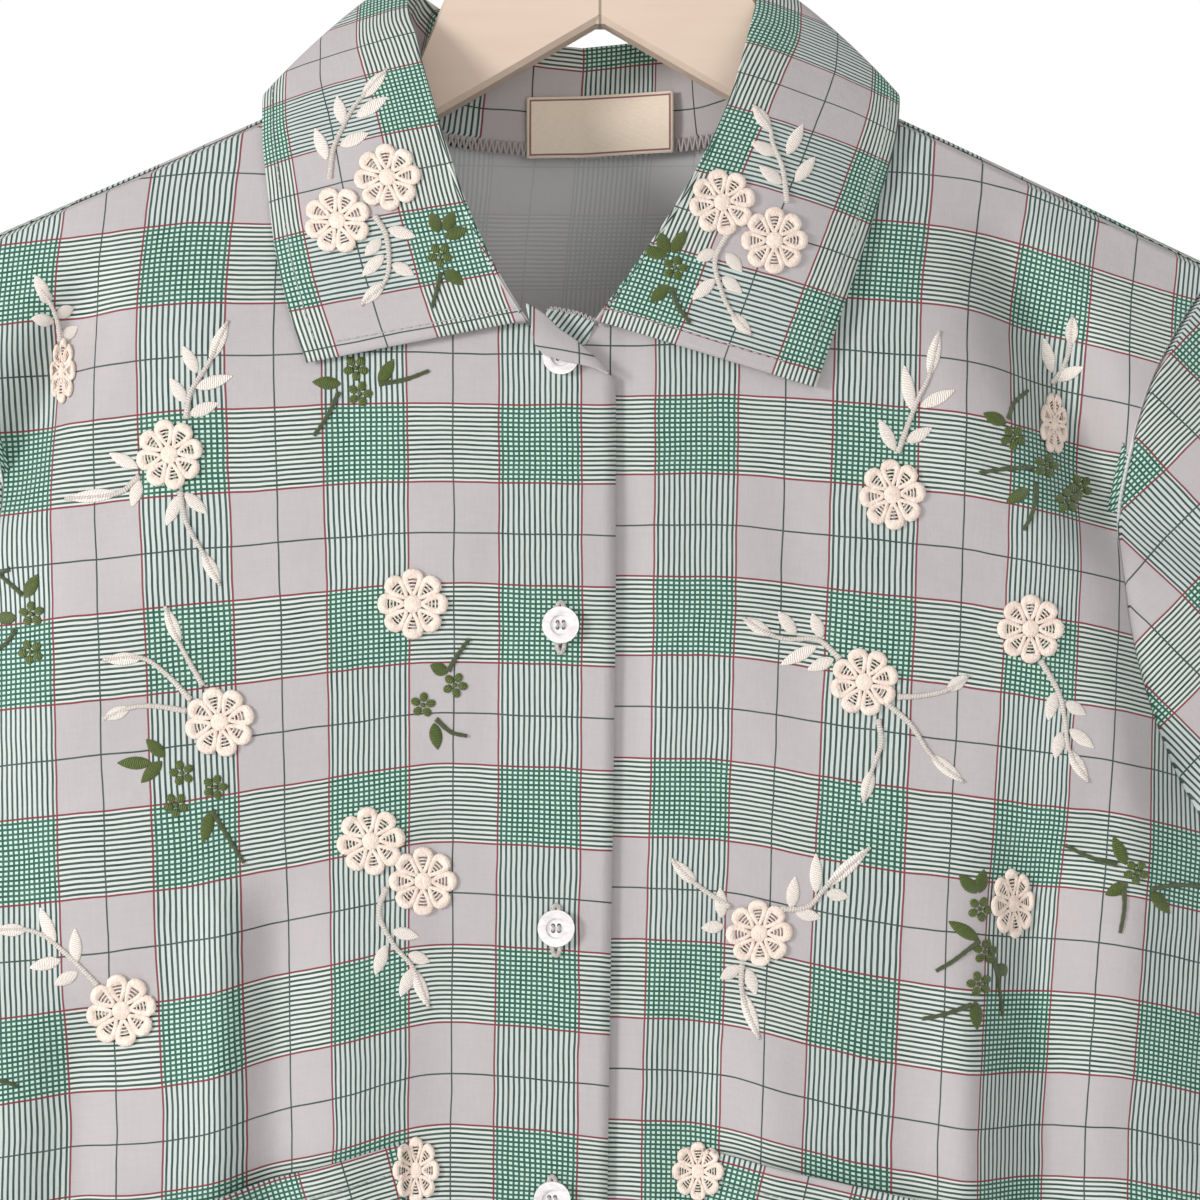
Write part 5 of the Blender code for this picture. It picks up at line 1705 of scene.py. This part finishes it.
def lay_stem(points, ground, thin, thick):
    run = run_through(points, 3.0)
    at = []
    for x, y in run:
        place, normal = touch(ground, x, y)
        at.append(place + normal * 0.0003)
    share = np.linspace(0, 1, len(at))
    radii = mix(thick, thin, share ** 0.7) * (1 + 0.12 * np.sin(np.arange(len(at)) * 2.1))
    return tube(at, radii, 8, flat=0.8)


def lay_sprig(name, sprig, looks, patterns, thin, thick, tipped=False):
    leaf_look, stem_look = looks
    leaf_pattern, bud = patterns
    ground = grounds[sprig.carrier]
    stems = thread_piece(name, [lay_stem(run, ground, thin, thick) for run in sprig.stems], stem_look)
    parts = [stems]
    tips = [Leaf(*run[-2], *run[-1]) for run in sprig.stems] if tipped else []
    for leaf in tuple(sprig.leaves) + tuple(tips):
        parts.append(lay_leaf(leaf_pattern, leaf, ground))
    for number, place in enumerate(sprig.buds):
        parts.append(lay_bud(bud, place, ground, number * 0.9))
    for part in parts[1:]:
        part.data.materials.clear()
        part.data.materials.append(leaf_look)
    return join(name, parts)


flower_pattern = lace_flower_pattern()
leaf_pattern = satin_leaf_pattern()
small_bud = bud_pattern()
flowers = {flower.name: lay_flower(flower_pattern, flower) for flower in FLOWERS}
sprigs = {}
for sprig in WHITE_SPRIGS:
    sprigs["white_" + sprig.carrier] = lay_sprig(
        "white_sprigs_" + sprig.carrier, sprig, (satin_look, wrap_look), (leaf_pattern, small_bud), 0.00060, 0.00100, True
    )
for sprig in GREEN_SPRIGS:
    sprigs["green_" + sprig.carrier] = lay_sprig(
        "green_sprigs_" + sprig.carrier, sprig, (olive_look, olive_look), (leaf_pattern, small_bud), 0.00062, 0.00085
    )
for pattern in (flower_pattern, leaf_pattern, small_bud):
    bpy.data.objects.remove(pattern, do_unlink=True)

# ---- Sewing

STITCH = 0.0029
STITCH_GAP = 0.0006
STITCH_RADIUS = 0.00020


def line_at(points, lengths, amount, axis):
    """The line over a grid that keeps one distance along the cloth from an edge."""
    if axis == 0:
        points, lengths = points.transpose(1, 0, 2), lengths.T
    return np.array(
        [[np.interp(amount, row_lengths, row[:, k]) for k in range(3)] for row, row_lengths in zip(points, lengths)]
    )


def stitches(line, lift):
    """Short threads, end to end with small gaps, along a line and lifted off the cloth."""
    line = np.asarray(line) + np.asarray(lift)
    length = np.concatenate([[0.0], np.cumsum(np.linalg.norm(np.diff(line, axis=0), axis=1))])
    made = []
    for start in np.arange(0.0, length[-1] - STITCH, STITCH):
        stops = (start, start + (STITCH - STITCH_GAP) / 2, start + STITCH - STITCH_GAP)
        at = np.stack([np.interp(stops, length, line[:, k]) for k in range(3)], axis=1)
        made.append(tube(at, (STITCH_RADIUS * 0.6, STITCH_RADIUS, STITCH_RADIUS * 0.6), 5))
    return made


FRONT_LIFT = (0.0, -0.00012, 0.0)
sewing = {"collar": [], "pocket_left": [], "pocket_right": [], "front_left": [], "front_right": [], "back": []}
for side in SIDES:
    grid = collar_half[side]
    edge_first = grid[::-1]
    from_edge = run_lengths(edge_first, 0)
    outer_line = line_at(edge_first, from_edge, 0.005, 0)
    leaf = grid[leaf_rows]
    front_line = line_at(leaf, run_lengths(leaf, 1), 0.005, 1)
    share = even(100)
    on_front = outer_line[(share < 0.62) & (np.arange(len(share)) > 3)]
    on_back = outer_line[share >= 0.62]
    sewing["collar"] += stitches(on_front, FRONT_LIFT)
    sewing["collar"] += stitches(on_back, (0.0, 0.00012, 0.00008))
    sewing["collar"] += stitches(front_line[2:-4], FRONT_LIFT)
    grid = pocket_grids[side]
    sewing["pocket_" + side] += stitches(line_at(grid, run_lengths(grid, 0), POCKET_HEM, 0), FRONT_LIFT)
    for flipped in (grid, grid[:, ::-1]):
        sewing["pocket_" + side] += stitches(line_at(flipped, run_lengths(flipped, 1), 0.0015, 1), FRONT_LIFT)
    sewing["pocket_" + side] += stitches(line_at(grid[::-1], run_lengths(grid[::-1], 0), 0.0015, 0), FRONT_LIFT)
    s, t = np.meshgrid(front_columns(), front_rows())
    grid = front_points(side, s, t)[0][::-1]
    sewing["front_" + side] += stitches(line_at(grid, run_lengths(grid, 0), 0.018, 0), FRONT_LIFT)
grid = back_grid[::-1]
sewing["back"] += stitches(line_at(grid, run_lengths(grid, 0), 0.018, 0), (0.0, 0.00012, 0.0))
sewn = {name: thread_piece("sewing_" + name, tubes, sewing_look) for name, tubes in sewing.items()}

# ---- Buttons and their holes


def button_pattern():
    bpy.ops.object.select_all(action="DESELECT")
    bpy.ops.mesh.primitive_cylinder_add(vertices=40, radius=BUTTON_RADIUS * 0.985, depth=BUTTON_THICK)
    made = bpy.context.active_object
    made.name = "button_pattern"
    mesh = made.data
    for inset, down in ((0.00045, 0.0), (0.0021, -0.00018), (0.00035, -0.00075)):
        bpy.ops.object.mode_set(mode="EDIT")
        bpy.ops.mesh.select_all(action="DESELECT")
        bpy.ops.object.mode_set(mode="OBJECT")
        top = max(mesh.polygons, key=lambda face: (round(face.normal.z, 3), len(face.vertices), face.center.z))
        top.select = True
        bpy.ops.object.mode_set(mode="EDIT")
        bpy.ops.mesh.inset(thickness=inset)
        bpy.ops.transform.translate(value=(0, 0, down))
        bpy.ops.object.mode_set(mode="OBJECT")
    holes = []
    for x in (-0.00095, 0.00095):
        for y in (-0.00095, 0.00095):
            bpy.ops.mesh.primitive_cylinder_add(vertices=14, radius=0.00062, depth=0.01, location=(x, y, 0))
            holes.append(bpy.context.active_object)
    for hole in holes:
        cut = made.modifiers.new("hole", "BOOLEAN")
        cut.object = hole
        cut.solver = "EXACT"
    round_over = made.modifiers.new("round_over", "BEVEL")
    round_over.width = 0.00022
    round_over.segments = 2
    round_over.limit_method = "ANGLE"
    round_over.angle_limit = math.radians(28)
    apply_all(made)
    for hole in holes:
        bpy.data.objects.remove(hole, do_unlink=True)
    # Turned to face the front
    for vertex in made.data.vertices:
        vertex.co = (vertex.co.x, -vertex.co.z, vertex.co.y)
    only(made)
    bpy.ops.object.shade_smooth_by_angle(angle=math.radians(35))
    made.data.materials.clear()
    made.data.materials.append(pearl_look)
    return made


HOLE_HALF_LENGTH = 0.0080
HOLE_HALF_WIDTH = 0.0013
button_base = button_pattern()
buttons, button_threads, buttonholes = [], [], []
for number in range(1, 7):
    low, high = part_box("button_%d" % number)
    middle = (Vector(low) + Vector(high)) / 2
    mesh = button_base.data.copy()
    mesh.name = "pearl_button_%d" % number
    made = put(bpy.data.objects.new(mesh.name, mesh))
    for vertex in mesh.vertices:
        vertex.co = vertex.co + middle
    buttons.append(made)
    face_y = middle.y - BUTTON_THICK / 2 + 0.0009
    for x in (-0.00095, 0.00095):
        bar = [
            (middle.x + x, face_y + 0.0008, middle.z + 0.00095),
            (middle.x + x, face_y - 0.00035, middle.z + 0.0007),
            (middle.x + x, face_y - 0.0005, middle.z),
            (middle.x + x, face_y - 0.00035, middle.z - 0.0007),
            (middle.x + x, face_y + 0.0008, middle.z - 0.00095),
        ]
        button_threads.append(tube(bar, 0.00034, 7))
    angles = np.linspace(0, 2 * math.pi, 44)
    ring = []
    for angle in angles:
        x = middle.x + HOLE_HALF_WIDTH * math.cos(angle)
        z = middle.z - 0.0008 + HOLE_HALF_LENGTH * np.sign(math.sin(angle)) * abs(math.sin(angle)) ** 0.35
        u = -(x - centre_x(z))
        y = float(front_y("left", np.array(u), np.array(z)))
        ring.append((x, y - 0.0006, z))
    if number > 1:
        buttonholes.append(tube(ring, 0.00075, 7, flat=0.6))
bpy.data.objects.remove(button_base, do_unlink=True)
button_thread = thread_piece("button_thread", button_threads, sewing_look)
buttonhole = thread_piece("buttonhole_stitch", buttonholes, satin_look)

# ---- The turned-down corner of the left front, and the corner that shows under it


def on_plane(x, y, depth):
    """The front view's point (x, y) at one depth."""
    reach = depth - EYE.y
    return np.array(((x - VIEW_CENTRE) * VIEW_STEP * reach, depth, EYE.z + (VIEW_CENTRE - y) * VIEW_STEP * reach))


def strip_between(upper, lower, depths, rows=18, columns=44):
    """A small sheet between two lines of the front view, its depths given at its two sides, above and below."""
    share = even(columns)
    lines = []
    for line in (run_through(upper, 1.0), run_through(lower, 1.0)):
        at = even(len(line) - 1)
        lines.append(np.stack([np.interp(share, at, line[:, k]) for k in (0, 1)], axis=1))
    points = np.empty((rows + 1, columns + 1, 3))
    view = np.empty((rows + 1, columns + 1, 2))
    for j, down in enumerate(even(rows)):
        for i in range(columns + 1):
            view[j, i] = mix(lines[0][i], lines[1][i], down)
            depth = mix(mix(depths[0], depths[1], share[i]), mix(depths[2], depths[3], share[i]), down)
            points[j, i] = on_plane(*view[j, i], depth - 0.0012 * math.sin(math.pi * down) * (1 - share[i]))
    return points, view


button_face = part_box("button_1")[0][1]
neck_face = float(front_y("left", np.array(0.0), np.array(-0.232)))
flap_points, flap_view = strip_between(
    ((526, 303), (538, 309), (547, 316), (559, 328), (575, 339), (586, 349), (600, 361), (608, 370)),
    ((535, 345), (539, 350), (546, 355), (560, 360), (578, 364), (592, 367), (609, 373)),
    (button_face - 0.0018, neck_face - 0.0020, button_face - 0.0022, button_face - 0.0010),
)
flap_green = flap_view[..., 1] - 346 - (flap_view[..., 0] - 539) * 0.19
flap_uv = pair(ACROSS.band_half + (flap_view[..., 0] - 534) * VIEW_STEP, DOWN.repeat / 2 + flap_green * VIEW_STEP)
flap = cloth("corner_flap", flap_points, flap_uv, (check_look, wrong_look), facing=(0, -1, 0), wall=0.0007)
under_face = float(front_y("right", np.array(0.006), np.array(-0.226))) + UNDER_LAP_STEP
under_points, under_view = strip_between(
    ((547, 309), (552, 307), (565, 309), (579, 312), (596, 319)),
    ((545, 318), (552, 330), (565, 342), (578, 350), (588, 342)),
    (under_face - 0.0008, under_face - 0.0010, under_face - 0.0004, under_face - 0.0006),
)
under_uv = pair(
    ((under_view[..., 0] - 571) * 0.80 + (under_view[..., 1] - 330) * 0.60) * VIEW_STEP,
    0.020 + ((under_view[..., 1] - 330) * 0.80 - (under_view[..., 0] - 571) * 0.60) * VIEW_STEP,
)
under_corner = cloth("under_corner", under_points, under_uv, (check_look, wrong_look), facing=(0, -1, 0))


def zigzag(line, reach, step, radius):
    """Overlocked thread: loops back and forth over an edge."""
    length = np.concatenate([[0.0], np.cumsum(np.linalg.norm(np.diff(line, axis=0), axis=1))])
    count = int(length[-1] / step)
    stops = np.linspace(0, length[-1], count + 1)
    at = np.stack([np.interp(stops, length, line[:, k]) for k in range(3)], axis=1)
    at[:, 2] += np.where(np.arange(len(at)) % 2 == 0, 0.0, -reach)
    return tube(run_through(at, 0.0006), radius, 5)


edge = under_points[0] + np.array((0, -0.0004, 0.0002))
overlock = [zigzag(edge, 0.0016, 0.0007, 0.00020)]
neck_line = []
for share in even(90, 0.50, 1.0):
    seam = collar_frame("left", share)[0]
    neck_line.append(seam + np.array((0.0, -0.0008, -0.0010)))
for share in even(90, 1.0, 0.50)[1:]:
    seam = collar_frame("right", share)[0]
    neck_line.append(seam + np.array((0.0, -0.0008, -0.0010)))
neck_line = np.array(neck_line)
overlock.append(zigzag(neck_line, 0.0046, 0.0010, 0.00040))
overlocked = thread_piece("overlock_stitch", overlock, overlock_look)

# ---- Hanger

hook_radius = HOOK_INNER_RADIUS + HOOK_WIRE / 2
hook_route = [(0.0, 0.0, BOARD_TOP_Z + 0.0004), (0.0, 0.0, -0.060), (0.0, 0.0, HOOK_STEM_TOP_Z)]
hook_route.append((HOOK_BEND[0], 0.0, HOOK_BEND[1]))
for step in range(19):
    turn = math.radians(HOOK_ARC_START - HOOK_ARC_SWEEP * step / 18)
    hook_route.append((hook_radius * math.cos(turn), 0.0, -HOOK_INNER_RADIUS + hook_radius * math.sin(turn)))
hook_run = run_through(hook_route, 0.0015)
hook_radii = np.full(len(hook_run), HOOK_WIRE / 2)
hook_radii[-2:] = (HOOK_WIRE * 0.42, HOOK_WIRE * 0.22)
hook = thread_piece("wire_hook", [tube(hook_run, hook_radii, 20)], steel_material())
paint = paint_material()
for name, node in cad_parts.items():
    if name == "hanger_board":
        node.data.materials.clear()
        node.data.materials.append(paint)

# ---- Every piece rides on the shirt, and the solid parts that pieces stand in for are hidden

trims = []
for name, made in panels.items():
    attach(made, "root")
    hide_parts(name)
for name, made in flowers.items():
    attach(made, "root")
    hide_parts("flower_" + name)
for name, made in sprigs.items():
    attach(made, "root")
for made in list(sewn.values()) + [button_thread, buttonhole, overlocked, flap, under_corner]:
    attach(made, "root")
for number, made in enumerate(buttons, 1):
    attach(made, "root")
    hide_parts("button_%d" % number)
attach(label, "root")
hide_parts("label")
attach(hook, "root")
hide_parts("hanger_hook")


# ---- Floor, light and camera

bpy.ops.object.select_all(action="DESELECT")
bpy.ops.mesh.primitive_plane_add(size=3.8, location=(0, 0, -0.90))
floor = bpy.context.active_object
floor.name = "floor"
floor.data.materials.append(floor_material())

scene = bpy.context.scene
scene.view_settings.view_transform = "Standard"
world = bpy.data.worlds.new("studio")
world.use_nodes = True
sky = world.node_tree
sky.nodes["Background"].inputs[1].default_value = 0.52
backdrop = sky.nodes.new("ShaderNodeBackground")
seen = sky.nodes.new("ShaderNodeMixShader")
for background in (sky.nodes["Background"], backdrop):
    background.inputs[0].default_value = (1.0, 1.0, 1.0, 1.0)
sky.links.new(sky.nodes.new("ShaderNodeLightPath").outputs["Is Camera Ray"], seen.inputs[0])
sky.links.new(sky.nodes["Background"].outputs[0], seen.inputs[1])
sky.links.new(backdrop.outputs[0], seen.inputs[2])
sky.links.new(seen.outputs[0], sky.nodes["World Output"].inputs[0])
scene.world = world


def soft_light(name, at, toward, size, power):
    data = bpy.data.lights.new(name, "AREA")
    data.shape = "DISK"
    data.size = size
    data.energy = power
    made = put(bpy.data.objects.new(name, data))
    made.location = at
    made.rotation_euler = (Vector(toward) - Vector(at)).to_track_quat("-Z", "Y").to_euler()
    return made


soft_light("key", (-1.75, -1.35, 0.05), (0, 0, -0.42), 0.6, 31.0)
soft_light("fill", (0.35, -1.6, -0.25), (0, 0, -0.4), 1.0, 5.5)
soft_light("behind", (0.8, 1.4, 0.5), (0, 0, -0.4), 1.2, 5.0)

lens = bpy.data.cameras.new("camera")
lens.lens = 93.75
lens.sensor_width = 36.0
camera = put(bpy.data.objects.new("camera", lens))
camera.location = EYE
camera.rotation_euler = (math.radians(90), 0, 0)
scene.camera = camera
